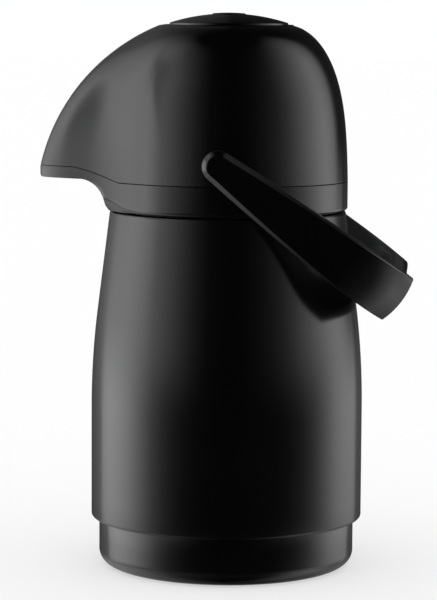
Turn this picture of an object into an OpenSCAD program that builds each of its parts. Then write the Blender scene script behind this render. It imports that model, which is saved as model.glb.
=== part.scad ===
// Push-button vacuum jug: a glass vacuum flask in a plastic body, with a pump head,
// a round push button, a beak spout and a carrying bail.
// Millimetres, +Z up, origin at the centre of the base, beak towards -X, grip towards +X.

/* [Body] */
// Radius of the body's straight lower part
body_r = 72.4; // [70:0.2:76]
// Height of the body's lower edge above the ground
body_z0 = 22.7; // [20:0.1:26]
// Height where the straight lower part ends
body_straight_z = 85; // [75:1:95]
// Height where the curve meets the cone
body_cone_z = 139; // [125:1:150]
// How far in the curve has come where it meets the cone
body_bend_in = 3.7; // [2:0.1:5]
// Height of the body's shoulder
body_top_z = 190; // [188:0.5:191]
// How far the body's shoulder stands back from the head's collar
shoulder_step = 1; // [0.2:0.1:1.6]
// Wall of the body
body_wall = 2.2; // [1.8:0.1:3]
// Radius of the round on the body's lower and upper edges
body_edge_r = 1.6; // [1:0.1:2]

/* [Neck] */
// Gap between the collar's outside and the body's neck
neck_step = 13.6; // [13:0.1:15]
// Wall of the neck
neck_wall = 3; // [2:0.1:4]
// Height of the neck above the body's shoulder
neck_h = 12; // [11:0.1:12.4]
// Thickness of the deck
deck_t = 2.5; // [2:0.1:3]
// How much larger the hole in the deck is than the flask's mouth
deck_hole_out = 2; // [1.5:0.1:3]
// How far each lug stands out from the neck
lug_out = 2.3; // [1.8:0.1:2.5]
// Thickness of a lug
lug_t = 2.5; // [2:0.1:3]
// Angle that one lug covers
lug_angle = 40; // [30:1:45]
// Number of lugs
lug_count = 3; // [3]
// Angle that one lug's end stop covers
lug_stop_angle = 3; // [2:0.5:5]
// Angle of free play between a lug and its end stop
lug_play = 1; // [0.5:0.1:2]
// Drop from the deck to the top of the lugs
lug_drop = 1; // [0.5:0.1:1.5]
// Angle of free play beside a lug in its notch
notch_play = 4; // [3:0.5:8]

/* [Base] */
// How far the base cup stands back from the body
base_step = 4.2; // [3:0.1:6]
// Radius of the round at the foot of the base cup
base_edge_r = 8; // [5:0.5:10]
// Wall of the base cup
base_wall = 2.6; // [2:0.1:3.4]
// Thickness of the base cup's floor
base_floor = 3; // [2.6:0.1:4]
// How far the spigot that goes up into the body stands back from the base cup
spigot_step = 4.2; // [3.7:0.1:6]
// Height of the spigot above the base cup
spigot_h = 11; // [9:0.5:14]
// Thickness of the body's inner flange that the spigot's lugs lock over
flange_t = 3.2; // [2.6:0.1:4]
// Gap between the non-slip ring and the round at the foot of the base cup
foot_inset = 6.2; // [3:0.2:10]
// Width of the non-slip ring
foot_w = 8; // [5:0.5:9]
// Thickness of the non-slip ring
foot_t = 1.6; // [1:0.1:2]

/* [Flask] */
// Gap between the body's wall and the glass flask
flask_room = 12.2; // [11:0.2:16]
// Height of the flask's lowest point
flask_z0 = 12; // [9:0.5:14]
// Height of the flask's rounded bottom
flask_bottom_h = 38; // [32:1:44]
// Height of the flask's rounded shoulder
flask_shoulder_h = 38; // [32:1:44]
// Thickness of the glass
glass_t = 1.8; // [1.4:0.1:2.4]
// Gap between the two walls of glass
vacuum_gap = 4.2; // [3:0.2:5]
// Gap between the two walls of glass at the mouth
neck_gap = 1.4; // [1:0.1:1.6]
// Radius of the bore of the flask's mouth
mouth_r = 24; // [23.6:0.1:24.6]
// Height of the straight neck of the flask
mouth_h = 6; // [4:0.5:8]
// Height of the seal between the flask's mouth and the deck
mouth_seal_t = 2.5; // [1.5:0.1:3]
// How far the seal stands out past the flask's mouth
mouth_seal_out = 1; // [0:0.1:2]
// Number of spacer pads between the two walls of glass
pad_count = 3; // [3]
// Height of a spacer pad
pad_h = 8; // [5:0.5:12]
// Angle that a spacer pad covers
pad_angle = 8; // [5:0.5:12]
// Height of the middle of the spacer pads
pad_z = 100; // [80:1:130]
// How far inside the flask's side its rubber seat ends
seat_inset = 12; // [9:0.5:18]
// Width of the rubber seat under the flask
seat_w = 16; // [12:0.5:20]
// Height of the lower edge of the rubber ring round the flask
centring_z = 60; // [50:1:72]
// Height of the rubber ring round the flask
centring_h = 10; // [6:0.5:12]

/* [Head] */
// How far the head stands back from the body's side
head_step = 8.8; // [8:0.1:9.2]
// Gap between the body's shoulder and the collar
collar_lift = 0.5; // [0.3:0.1:1.5]
// Height of the collar from its lower edge to its seam with the dome
collar_h = 15.8; // [15.7:0.1:17.5]
// How far the seam rises at the beak
seam_rise = 7.7; // [5:0.1:9]
// Width of the groove at the seam
seam_gap = 0.4; // [0.2:0.1:0.8]
// Wall of the collar and the dome
head_wall = 2.3; // [1.8:0.1:2.6]
// Height of the dome above the seam
dome_h = 81.7; // [79.7:0.1:82.7]
// How far inside the hole's edge the dome's side curve ends
dome_top_in = 3.6; // [2.6:0.1:4.6]
// How much the dome's side leans in over its height
dome_lean = 2.5; // [1:0.1:4]
// How square the dome's shoulder is
dome_power = 3.15; // [2.7:0.05:3.6]
// How much the radius of the curve over the beak exceeds the head's radius
beak_reach = 42.1; // [40:0.1:43.5]
// How far behind the axis the curve over the beak is centred
beak_arc_x = 3.2; // [2:0.1:4]
// Drop from the seam to the centre of the curve over the beak
beak_arc_drop = 16.6; // [15:0.1:18]
// Angle on each side of the beak at which it has blended into the round head
beak_spread = 54; // [48:1:60]
// How narrow the beak is
beak_focus = 6.5; // [5:0.1:9]
// Angle from the beak's middle up to which the seam stays high
seam_flat = 13; // [10:0.5:16]
// Angle from the beak's middle at which the seam has come down
seam_end = 38; // [34:0.5:42]
// Radius of the hollow under the beak
chin_r = 16.8; // [14:0.1:18]
// Depth of the plain edge below the hollow under the beak
chin_edge = 0.5; // [0.2:0.1:1]
// Radius of the round under the beak's tip
jaw_tip_r = 2; // [1.5:0.1:2.4]
// How far the lower jaw stands out past the dome at the tip
jaw_out = 0.3; // [0:0.1:0.6]
// Radius of the round on the collar's lower edge
collar_edge = 1.3; // [0.8:0.1:1.8]
// Share of the dome's height at which its side gives way to the flat top
dome_edge_u = 0.993; // [0.985:0.001:0.994]
// Width of the flat top round the hole in the dome
dome_land = 0.4; // [0.2:0.1:0.6]
// Width of the lip round the hole in the dome's top
lip_w = 3; // [2:0.1:3.5]

/* [Button] */
// Radius of the push button
button_r = 31.3; // [30.8:0.1:31.5]
// Height of the middle of the button's crown above the dome
crown_up = 5.8; // [5.5:0.1:6.5]
// Radius of the button's crown
button_crown_r = 102.7; // [95:0.1:110]
// Wall of the button
button_wall = 2; // [1.6:0.1:2.2]
// Height of the button's skirt below its rim
skirt_h = 28; // [26:0.5:29]
// How far the bead at the foot of the skirt stands out
bead_out = 1.3; // [1:0.1:1.6]
// Height of the bead at the foot of the skirt
bead_h = 1.8; // [1.2:0.1:2.5]
// Radius of the pad in the middle of the button
pad_r = 9; // [7:0.5:11]
// How far the pad stands above the button
pad_out = 0.5; // [0.4:0.1:0.8]
// How far down the button goes
button_travel = 26; // [20:1:28]
// Wall of the sleeve that the button slides in
sleeve_wall = 1.8; // [1.4:0.1:2]
// Running clearance of the button in its sleeve
button_clearance = 0.4; // [0.3:0.05:0.5]
// Height of the round on the button's rim
rim_edge = 0.6; // [0.4:0.1:1]
// Thickness of the flange that holds the sleeve in the dome
sleeve_flange_t = 2; // [1.5:0.1:2.5]
// How far the flange stands out round the sleeve
sleeve_flange_out = 2.4; // [1.5:0.1:2.6]
// Radius of the posts that stop the button
stop_r = 2.2; // [1.6:0.1:2.6]

/* [Pump] */
// Thickness of the plate that closes the head from below
plate_t = 3; // [2.4:0.1:3.2]
// How much wider the drum that carries the bellows is than they are
drum_step = 1.6; // [1.2:0.1:2.4]
// Thickness of the drum's wall and top
drum_wall = 2; // [1.6:0.1:2.4]
// Gap between the button's skirt and the bellows
bellows_gap = 0.9; // [0.6:0.1:3]
// Depth of a fold of the bellows
bellows_fold = 5; // [3:0.5:7]
// Number of folds of the bellows
bellows_folds = 9; // [6:1:12]
// Thickness of the bellows' wall
bellows_wall = 1; // [0.8:0.1:1.4]
// How far inside the bellows' side the plate on top of them ends
plate_step = 1.4; // [0.6:0.1:3]
// Thickness of the plate on top of the bellows
bellows_plate_t = 2.2; // [2:0.1:3]
// Drop from the inside of the button's rim to the bellows
plate_drop = 6; // [5:0.5:8]
// Radius of the return spring, to the middle of its wire
spring_r = 15; // [12:0.5:18]
// Radius of the spring's wire
spring_wire_r = 0.9; // [0.6:0.1:1.2]
// Number of turns of the return spring
spring_turns = 7; // [5:1:9]
// Radius of the valve's stem under the button
valve_r = 3; // [2.4:0.1:4]
// Step between the valve's stem and its tip
valve_step = 1; // [0.8:0.1:1.2]
// Length of the valve's tip below the plate
valve_tip = 3; // [2:0.1:5]
// Gap between the stopper and the flask's mouth
stopper_gap = 1.5; // [1:0.1:3]
// Height of the stopper below the plate
stopper_h = 23; // [16:0.5:26]
// Thickness of the seal ring between the deck and the plate
seal_t = 0.7; // [0.5:0.1:0.8]
// How far the seal ring between the deck and the plate stands back from the hole
seal_step = 2; // [1.2:0.1:4]
// Width of the seal ring between the deck and the plate
seal_w = 9; // [5:0.5:12]

/* [Water path] */
// Distance of the suction tube from the axis
tube_x = 14; // [12:0.5:15]
// Outer radius of the suction tube
tube_r = 4; // [3.4:0.1:4.5]
// Wall of the suction tube
tube_wall = 1; // [0.8:0.1:1.2]
// Height of the suction tube's lower end
tube_z0 = 26; // [24:0.5:40]
// Outer radius of the spout pipe
pipe_r = 4.2; // [3.8:0.1:4.6]
// Wall of the spout pipe
pipe_wall = 1.1; // [0.8:0.1:1.4]
// Distance of the spout's mouth from the beak's end
spout_inset = 11.6; // [10.6:0.1:13.6]
// Outer radius of the nozzle at the spout's mouth
nozzle_r = 5.6; // [5:0.1:6]
// Distance of the air passage from the axis
air_x = 8; // [7:0.5:10]
// Radius of the air passage
air_r = 3.5; // [2.5:0.1:4]

/* [Bail] */
// Distance of the bail's pivots in front of the axis
pivot_x = 3; // [0:0.5:6]
// Height of the bail's pivots above the seam
pivot_up = 10.7; // [9.7:0.1:13.7]
// Angle of the bail below level, as it hangs
bail_angle = 36.8; // [30:0.2:38]
// How far the grip's outer face is past the body's radius, from the pivots
bail_over = 44.1; // [43.6:0.1:49]
// Gap between a pivot washer and the bail's arm
arm_gap = 0.25; // [0.1:0.05:1]
// How square the bail's bend is
bail_power = 4.6; // [3.5:0.1:7]
// Thickness of the bail's arms
arm_t = 5.4; // [4.6:0.1:5.8]
// Thickness of the grip
grip_t = 12.5; // [10:0.5:13]
// Half the height of an arm at its pivot
eye_r = 8.2; // [8:0.1:9.5]
// Half the height of the grip
grip_half_h = 13.3; // [12:0.1:15]
// How much the arms belly out between pivot and grip
arm_belly = 1.1; // [0:0.1:2]
// How far the grip's upper edge dips in the middle
grip_dip = 1.6; // [0.8:0.1:2.5]
// Share of the grip's width that the dip covers
dip_share = 0.7; // [0.5:0.05:0.8]
// Radius of a pivot pin
pin_r = 4; // [3:0.1:5]
// Depth of a pivot pin in the bail
pin_depth = 3.8; // [3:0.1:4]
// Radius of the boss round a pivot
boss_r = 7.5; // [6.5:0.1:8]
// Height of a pivot boss over the side of the dome
boss_out = 0.5; // [0.4:0.1:0.8]
// Depth of a pivot boss inside the dome's wall
boss_in = 1; // [0.6:0.1:1.6]
// Length of a pivot pin inside the dome
pin_tail = 3; // [2.5:0.1:4]
// Thickness of a pivot pin's head, inside the dome
pin_head_t = 1.8; // [1.4:0.1:1.9]
// How far a pivot pin's head stands out round the pin
pin_head_out = 2; // [1:0.1:3]
// Thickness of a pivot washer
washer_t = 0.6; // [0.4:0.1:0.7]

/* [Screws] */
// Number of screws that hold the head together
screw_count = 3; // [3]
// Radius of a screw's shank
screw_r = 1.5; // [1.2:0.1:1.7]
// Radius of a screw's head
screw_head_r = 2.7; // [2.2:0.1:3]
// Height of a screw's head
screw_head_h = 2; // [1.5:0.1:2.5]
// Distance of the screws from the collar's outside
screw_inset = 6.6; // [6.2:0.1:7]
// Length of a screw's thread in the dome
screw_grip = 11; // [8:0.5:13]
// Wall of the boss that a screw goes into
screw_boss_wall = 2.1; // [1.6:0.1:2.6]
// Thickness of the end of the boss that a screw goes into
screw_boss_end = 2; // [1.5:0.1:3]
// How deep a screw's head is sunk
screw_sunk = 1; // [0.5:0.1:2]
// Width of the cross in a screw's head
screw_slot_w = 0.7; // [0.5:0.1:1]
// Depth of the cross in a screw's head
screw_slot_d = 1; // [0.6:0.1:1.2]

/* [Hidden] */
$fn = 96;

// Clearance of a loose fit between fixed pieces
fit = 0.3;
// Clearance of a close fit between fixed pieces
snug = 0.1;
// Running clearance of the bail on its pins
running = 0.05;
// Overlap of shapes that are joined or cut
eps = 0.05;

black = "#141414";
rubber = "#2b2b2b";
steel = "#b8bcc0";
mirror_glass = "#c9ced2";
milky = "#e6e8e6";

// Sizes that follow from the body's
collar_r = body_r - head_step;
body_top_r = collar_r - shoulder_step;
neck_r = collar_r - neck_step;
base_r = body_r - base_step;
spigot_r = base_r - spigot_step;
foot_r_in = base_r - base_edge_r - foot_inset - foot_w;
bail_reach = body_r + bail_over;

// Heights, stacked from the body's shoulder
deck_z = body_top_z + neck_h;
collar_z0 = body_top_z + collar_lift;
seam_z = collar_z0 + collar_h;
dome_z = seam_z + dome_h;
button_z = dome_z + crown_up;
pivot_z = seam_z + pivot_up;

// Body
body_in_r = body_r - body_wall;
body_bend_h = body_cone_z - body_straight_z;
body_bend_r = (body_bend_h * body_bend_h + body_bend_in * body_bend_in) / (2 * body_bend_in);
cone_angle = atan((body_r - body_bend_in - body_top_r) / (body_top_z - body_cone_z));
bend_steps = 10;
edge_steps = 5;
flange_hole_r = spigot_r + fit;
lug_under_z = deck_z - lug_t - lug_drop;
notch_turn = 180 / lug_count;

// Flask
flask_r = body_in_r - flask_room;
flask_top_z = deck_z - deck_t - mouth_seal_t;
flask_in_r = flask_r - glass_t - vacuum_gap;
deck_hole_r = mouth_r + deck_hole_out;
seat_r_out = flask_r - seat_inset;
seat_r_in = seat_r_out - seat_w;
neck_out_r = mouth_r + 2 * glass_t + neck_gap;
flask_steps = 14;

// Head
stopper_r = mouth_r - stopper_gap;
seal_r_in = deck_hole_r + seal_step;
screw_circle_r = collar_r - screw_inset;
beak_arc_r = collar_r + beak_reach;
beak_arc_z = seam_z - beak_arc_drop;
plate_z = deck_z + seal_t + fit;
plate_top_z = plate_z + plate_t;
ring_out_r = collar_r - head_wall - fit;
ring_in_r = neck_r + lug_out + fit;
beak_end = sqrt(pow(beak_arc_r, 2) - pow(seam_rise + beak_arc_drop, 2)) - beak_arc_x;
spout_x = beak_end - spout_inset;
jaw_floor_z = collar_z0 + chin_edge + chin_r;
pipe_z = jaw_floor_z + head_wall + fit + pipe_r;
drum_z = pipe_z + pipe_r + fit + drum_wall;
sleeve_in_r = button_r + button_clearance;
sleeve_out_r = sleeve_in_r + sleeve_wall;
dome_hole_r = sleeve_out_r + snug;
dome_top_r = dome_hole_r - dome_top_in;
bellows_r = button_r - button_wall - bellows_gap;
bellows_plate_r = bellows_r - plate_step;
drum_r = bellows_r + drum_step;
rim_z = crown(button_r);
skirt_z = rim_z - skirt_h;
sleeve_z0 = skirt_z + bead_h + fit;
bellows_top_z = rim_z - button_wall - plate_drop;
stop_z = skirt_z - button_travel - fit;
stop_circle_r = drum_r + stop_r / 2;
screw_boss_r = screw_r + screw_boss_wall;

// Bail
boss_y = side_r(pivot_z) + boss_out;
pin_start = boss_y + washer_t + arm_gap;
bail_half_w = pin_start + arm_t;
pin_y = boss_y - boss_out - head_wall - pin_tail;

// Meridians of the head's faceted skins, closer together towards the beak
meridians = 76;
crowding = 1.45;
angles = [for (i = [0:meridians - 1])
    let (u = 2 * i / meridians - 1)
    180 * sign(u) * pow(abs(u), crowding)];

// Smooth step from 0 at a to 1 at b
function ease(x, a, b) =
    let (t = min(1, max(0, (x - a) / (b - a))))
    t * t * (3 - 2 * t);

// Height of the button's crown at radius r
function crown(r) = button_z - button_crown_r + sqrt(pow(button_crown_r, 2) - r * r);

// Radius of the round part of the head at height z
function side_r(z) =
    let (u = min(1, max(0, (z - seam_z) / (dome_z - seam_z))))
    dome_top_r + (collar_r - dome_top_r - dome_lean * u) * sqrt(1 - pow(u, dome_power));

// Reach of the beak from the axis at height z
function front_r(z) =
    max(side_r(z), sqrt(max(0, pow(beak_arc_r, 2) - pow(z - beak_arc_z, 2))) - beak_arc_x);

// Share of the beak's reach at angle a from the beak's middle
function beak_share(a) =
    let (t = min(1, abs(a) / beak_spread), s = t * t)
    pow(1 - s, 2) / (1 + beak_focus * s);

// Height of the seam at angle a from the beak's middle
function seam_at(a) = seam_z + seam_rise * seam_share(a);
function seam_share(a) = 1 - ease(abs(a), seam_flat, seam_end);

// Radius of the dome at angle a and height z
function dome_r(a, z) =
    let (r = side_r(z))
    r + (front_r(z) - r) * beak_share(a);

// A point at angle a from the beak's middle, radius r and height z
function spot(a, r, z) = [-r * cos(a), -r * sin(a), z];

// Faces of a closed ring of meridians, each with the same number of points
function skin_faces(n, m) = [
    for (i = [0:n - 1], j = [0:m - 1])
        let (a = i * m + j, b = i * m + (j + 1) % m,
             c = ((i + 1) % n) * m + (j + 1) % m, d = ((i + 1) % n) * m + j)
        each [[a, b, c], [a, c, d]]];

module skin(outlines) {
    polyhedron(points = [for (o = outlines) each o],
               faces = skin_faces(len(outlines), len(outlines[0])), convexity = 8);
}

module ring(r_in, r_out, z0, z1) {
    rotate_extrude() polygon([[r_in, z0], [r_out, z0], [r_out, z1], [r_in, z1]]);
}

// A part of a ring that covers an angle, with its middle at angle mid
module sector(r_in, r_out, z0, z1, mid, span) {
    rotate([0, 0, mid - span / 2]) rotate_extrude(angle = span)
        polygon([[r_in, z0], [r_out, z0], [r_out, z1], [r_in, z1]]);
}

module post(x, y, r, z0, z1) {
    translate([x, y, z0]) cylinder(r = r, h = z1 - z0);
}

// Outside of the body from its lower edge to its shoulder, less a depth of wall
function body_side(inset) = [
    [body_r - inset, body_straight_z],
    for (i = [1:bend_steps])
        let (z = body_straight_z + body_bend_h * i / bend_steps, h = z - body_straight_z)
        [body_r - inset - body_bend_r + sqrt(pow(body_bend_r, 2) - h * h), z]];

function arc_points(cx, cz, r, from, to, steps) = [
    for (i = [0:steps])
        let (a = from + (to - from) * i / steps)
        [cx + r * cos(a), cz + r * sin(a)]];

module body_shell() {
    outside = concat(
        arc_points(body_r - body_edge_r, body_z0 + body_edge_r, body_edge_r, -90, 0, edge_steps),
        body_side(0),
        arc_points(body_top_r - body_edge_r, body_top_z - body_edge_r, body_edge_r, cone_angle, 90,
                   edge_steps));
    inside = concat(
        [[neck_r - neck_wall, body_top_z - body_wall],
         [body_top_r - body_wall, body_top_z - body_wall]],
        [for (i = [bend_steps:-1:0]) body_side(body_wall)[i]],
        [[body_in_r, body_z0 + flange_t], [flange_hole_r, body_z0 + flange_t],
         [flange_hole_r, body_z0]]);
    neck = [[neck_r, body_top_z], [neck_r, deck_z], [deck_hole_r, deck_z],
            [deck_hole_r, deck_z - deck_t], [neck_r - neck_wall, deck_z - deck_t]];
    color(black) {
        difference() {
            rotate_extrude() polygon(concat(outside, neck, inside));
            for (i = [0:lug_count - 1])
                sector(spigot_r - base_wall, spigot_r + lug_out + fit, body_z0 - eps,
                       body_z0 + flange_t + eps, notch_turn + i * 360 / lug_count,
                       lug_angle + notch_play);
        }
        for (i = [0:lug_count - 1]) {
            sector(neck_r - eps, neck_r + lug_out, lug_under_z, lug_under_z + lug_t,
                   i * 360 / lug_count, lug_angle);
            sector(neck_r - eps, neck_r + lug_out, lug_under_z - lug_t - fit, lug_under_z,
                   i * 360 / lug_count - (lug_angle - lug_stop_angle) / 2, lug_stop_angle);
        }
    }
}

module base_cup() {
    top = body_z0 - snug;
    outline = concat(
        [[0, 0], [foot_r_in, 0], [foot_r_in, foot_t], [foot_r_in + foot_w, foot_t],
         [foot_r_in + foot_w, 0]],
        arc_points(base_r - base_edge_r, base_edge_r, base_edge_r, -90, 0, 8),
        [[base_r, top], [spigot_r, top], [spigot_r, body_z0 + spigot_h],
         [spigot_r - base_wall, body_z0 + spigot_h], [spigot_r - base_wall, base_floor + foot_t],
         [0, base_floor + foot_t]]);
    color(black) {
        rotate_extrude() polygon(outline);
        for (i = [0:lug_count - 1])
            sector(spigot_r - eps, spigot_r + lug_out, body_z0 + flange_t + snug,
                   body_z0 + flange_t + snug + lug_t, i * 360 / lug_count, lug_angle);
    }
}

module foot_ring() {
    color(rubber) ring(foot_r_in, foot_r_in + foot_w, 0, foot_t);
}

// Profile of a flask's outside, from the axis to its neck
function flask_side(r, z0, bottom_h, top_z, shoulder_h, neck, neck_z) = concat(
    [for (i = [0:flask_steps])
        let (a = 90 * i / flask_steps)
        [r * sin(a), z0 + bottom_h * (1 - cos(a))]],
    [for (i = [1:flask_steps])
        let (a = 90 * i / flask_steps)
        [neck + (r - neck) * cos(a), top_z - shoulder_h * (1 - sin(a))]],
    [[neck, neck_z]]);

function reversed(p) = [for (i = [len(p) - 1:-1:0]) p[i]];

// Height of the flask's underside at radius r
function flask_under(r) = flask_z0 + flask_bottom_h * (1 - sqrt(1 - pow(r / flask_r, 2)));

module flask_seat() {
    rise = [for (i = [0:6])
        let (r = seat_r_out + (seat_r_in - seat_r_out) * i / 6)
        [r, flask_under(r) - snug]];
    color(rubber) rotate_extrude() polygon(concat(
        [[seat_r_in, base_floor + foot_t], [seat_r_out, base_floor + foot_t]], rise));
}

module centring_ring() {
    color(rubber) ring(flask_r + snug, body_in_r - snug, centring_z, centring_z + centring_h);
}

lip_z = flask_top_z - glass_t;
shoulder_z = flask_top_z - mouth_h;

module flask_outer() {
    out = flask_side(flask_r, flask_z0, flask_bottom_h, shoulder_z, flask_shoulder_h, neck_out_r, lip_z);
    inner = flask_side(flask_r - glass_t, flask_z0 + glass_t, flask_bottom_h - glass_t,
                       shoulder_z - glass_t, flask_shoulder_h - glass_t, neck_out_r - glass_t, lip_z);
    color(mirror_glass, 0.5) rotate_extrude() polygon(concat(out, reversed(inner)));
}

module flask_inner() {
    z0 = flask_z0 + glass_t + vacuum_gap;
    top = shoulder_z - glass_t - vacuum_gap;
    out = flask_side(flask_in_r, z0, flask_bottom_h - glass_t - vacuum_gap, top,
                     flask_shoulder_h - glass_t - vacuum_gap, mouth_r + glass_t, lip_z);
    lip = [[neck_out_r, lip_z], [neck_out_r, flask_top_z], [mouth_r, flask_top_z]];
    inner = flask_side(flask_in_r - glass_t, z0 + glass_t, flask_bottom_h - 2 * glass_t - vacuum_gap,
                       top - glass_t, flask_shoulder_h - 2 * glass_t - vacuum_gap, mouth_r, lip_z);
    color(mirror_glass, 0.5) rotate_extrude() polygon(concat(out, lip, reversed(inner)));
}

module spacer_pad(i) {
    color(milky) sector(flask_in_r + eps, flask_in_r + vacuum_gap - fit, pad_z - pad_h / 2,
                        pad_z + pad_h / 2, 90 + i * 360 / pad_count, pad_angle);
}

module mouth_seal() {
    color(milky) ring(deck_hole_r, neck_out_r + mouth_seal_out, flask_top_z, flask_top_z + mouth_seal_t);
}

// Section of the plain collar, from its lower edge at w = 0 to the seam at w = 1
function collar_point(w, inset) =
    let (round_in = inset > 0 ? 0 : collar_edge * pow(max(0, 1 - w * 10), 2))
    [collar_r - inset - round_in, collar_z0 + w * (seam_z - seam_gap - collar_z0)];

// Section of the beak's lower jaw: a hollow chin, a flat floor and the tip
function jaw_point(w, inset) =
    let (start = chin_r + collar_r,
         tip = beak_end + jaw_out - inset,
         floor_z = jaw_floor_z + inset,
         arc_r = chin_r + inset,
         top_z = seam_z + seam_rise - seam_gap)
    w < 0.5
        ? [start - arc_r * cos(180 * w), floor_z - arc_r + arc_r * sin(180 * w)]
    : w < 0.76
        ? [start + (tip - jaw_tip_r - start) * (w - 0.5) / 0.26, floor_z]
    : w < 0.9
        ? let (a = 90 * (w - 0.76) / 0.14)
          [tip - jaw_tip_r * (1 - sin(a)), floor_z + jaw_tip_r * (1 - cos(a))]
        : [tip, floor_z + jaw_tip_r + (top_z - floor_z - jaw_tip_r) * (w - 0.9) / 0.1];

// Point of the collar's skin at angle a from the beak's middle
function head_low(a, w, inset) =
    let (plain = collar_point(w, inset), jaw = jaw_point(w, inset),
         r = plain[0] + (jaw[0] - plain[0]) * beak_share(a),
         z = plain[1] + (max(jaw[1], collar_z0) - plain[1]) * seam_share(a))
    spot(a, r, z);

low_out = [0, 0.03, 0.07, 0.1, 0.16, 0.22, 0.28, 0.34, 0.4, 0.45, 0.5, 0.62, 0.76, 0.8, 0.84, 0.9, 1];
low_in = [1, 0.84, 0.76, 0.5, 0.42, 0.34, 0.26, 0.18, 0];

module head_collar() {
    color(black) difference() {
        skin([for (a = angles) concat([for (w = low_out) head_low(a, w, 0)],
                                      [for (w = low_in) head_low(a, w, head_wall)])]);
        post(-spout_x, 0, nozzle_r + fit, collar_z0, seam_z + seam_rise);
    }
}

module screw_positions() {
    for (i = [0:screw_count - 1])
        rotate([0, 0, i * 360 / screw_count]) translate([screw_circle_r, 0, 0]) children();
}

module bayonet_ring() {
    z0 = body_top_z + fit;
    color(black) {
        difference() {
            ring(ring_in_r, ring_out_r, z0, plate_z);
            screw_positions() {
                translate([0, 0, z0 - eps]) cylinder(r = screw_r + snug, h = plate_z - z0 + 1);
                translate([0, 0, z0 - eps])
                    cylinder(r = screw_head_r + fit, h = screw_sunk + screw_head_h + eps);
            }
        }
        for (i = [0:lug_count - 1])
            sector(neck_r + fit, ring_in_r + eps, lug_under_z - lug_t - fit, lug_under_z - fit,
                   i * 360 / lug_count + (lug_stop_angle + lug_play) / 2,
                   lug_angle - lug_stop_angle - lug_play);
    }
}

module pump_plate() {
    color(black) {
        difference() {
            union() {
                post(0, 0, ring_out_r, plate_z, plate_top_z);
                post(0, 0, drum_r, plate_z, drum_z);
                for (i = [0:screw_count - 1])
                    rotate([0, 0, i * 360 / screw_count])
                        post(stop_circle_r, 0, stop_r, plate_z, stop_z);
            }
            difference() {
                post(0, 0, drum_r - drum_wall, plate_top_z, drum_z - drum_wall);
                post(air_x, 0, air_r + drum_wall, plate_z, drum_z);
            }
            post(air_x, 0, air_r, plate_z - eps, drum_z + eps);
            post(-tube_x, 0, tube_r + snug, plate_z - eps, plate_top_z + eps);
            translate([-drum_r - 1, -pipe_r - fit, plate_top_z])
                cube([drum_r - tube_x + 1, 2 * (pipe_r + fit), drum_z - drum_wall - plate_top_z]);
            screw_positions() translate([0, 0, plate_z - eps])
                cylinder(r = screw_r + snug, h = plate_t + 2 * eps);
        }
    }
}

dome_out_u = [for (i = [0:20]) dome_edge_u * (1 - pow(1 - i / 20, 1.7))];
dome_in_u = [0.955, 0.9, 0.83, 0.74, 0.62, 0.48, 0.32, 0.16, 0];

// Point of the dome's skin at angle a and share u of its height
function dome_spot(a, u, inset) =
    let (low = seam_at(a), z = low + (dome_z - low) * u)
    spot(a, dome_r(a, z) - inset, z);

module dome_shell() {
    lip_low_z = dome_z - head_wall;
    lip_in_r = dome_hole_r + lip_w;
    rib_end = side_r(seam_z + screw_grip) - head_wall * 0.75 - screw_circle_r;
    boss_l = screw_grip + screw_boss_end;
    color(black) difference() {
        union() {
            skin([for (a = angles) concat(
                [for (u = dome_out_u) dome_spot(a, u, 0)],
                [spot(a, dome_hole_r + dome_land, dome_z), spot(a, dome_hole_r, dome_z),
                 spot(a, dome_hole_r, lip_low_z),
                 spot(a, lip_in_r, lip_low_z)],
                [for (u = dome_in_u) dome_spot(a, u, head_wall)])]);
            for (side = [-1, 1]) mirror([0, side < 0 ? 1 : 0, 0]) {
                translate([-pivot_x, boss_y, pivot_z]) rotate([90, 0, 0])
                    cylinder(r = boss_r, h = boss_out + head_wall + boss_in);
            }
            screw_positions() translate([0, 0, plate_top_z + snug]) {
                cylinder(r = screw_boss_r, h = boss_l);
                translate([0, -screw_boss_r / 2, 0]) cube([rib_end, screw_boss_r, boss_l]);
            }
        }
        for (side = [-1, 1]) mirror([0, side < 0 ? 1 : 0, 0])
            translate([-pivot_x, boss_y + eps, pivot_z]) rotate([90, 0, 0])
                cylinder(r = pin_r, h = boss_out + head_wall + boss_in + 2 * eps);
        screw_positions() translate([0, 0, plate_top_z])
            cylinder(r = screw_r, h = screw_grip + snug);
    }
}

module button_sleeve() {
    flange_z = dome_z - head_wall - snug;
    color(black) rotate_extrude() polygon([
        [sleeve_in_r, sleeve_z0], [sleeve_out_r, sleeve_z0],
        [sleeve_out_r, flange_z - sleeve_flange_t],
        [sleeve_out_r + sleeve_flange_out, flange_z - sleeve_flange_t],
        [sleeve_out_r + sleeve_flange_out, flange_z],
        [sleeve_out_r, flange_z], [sleeve_out_r, dome_z], [sleeve_in_r, dome_z]]);
}

module push_button() {
    steps = 14;
    under_r = button_r - button_wall;
    top = [for (i = [0:steps]) let (r = (button_r - rim_edge) * (1 - i / steps)) [r, crown(r)]];
    under = [for (i = [0:steps]) let (r = under_r * i / steps) [r, crown(r) - button_wall]];
    color(black) {
        rotate_extrude() polygon(concat(
            [[under_r, skirt_z], [button_r + bead_out, skirt_z], [button_r + bead_out, skirt_z + bead_h],
             [button_r, skirt_z + bead_h], [button_r, rim_z - rim_edge]], top, under));
        ring(valve_r + snug, valve_r + button_wall, bellows_top_z + bellows_plate_t,
             crown(valve_r) - button_wall + eps);
    }
}

module button_pad() {
    steps = 6;
    under = [for (i = [0:steps]) let (r = pad_r * i / steps) [r, crown(r)]];
    top = [for (i = [steps:-1:0]) let (r = (pad_r - pad_out) * i / steps) [r, crown(r) + pad_out]];
    color(black) rotate_extrude() polygon(concat(under, top));
}

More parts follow.
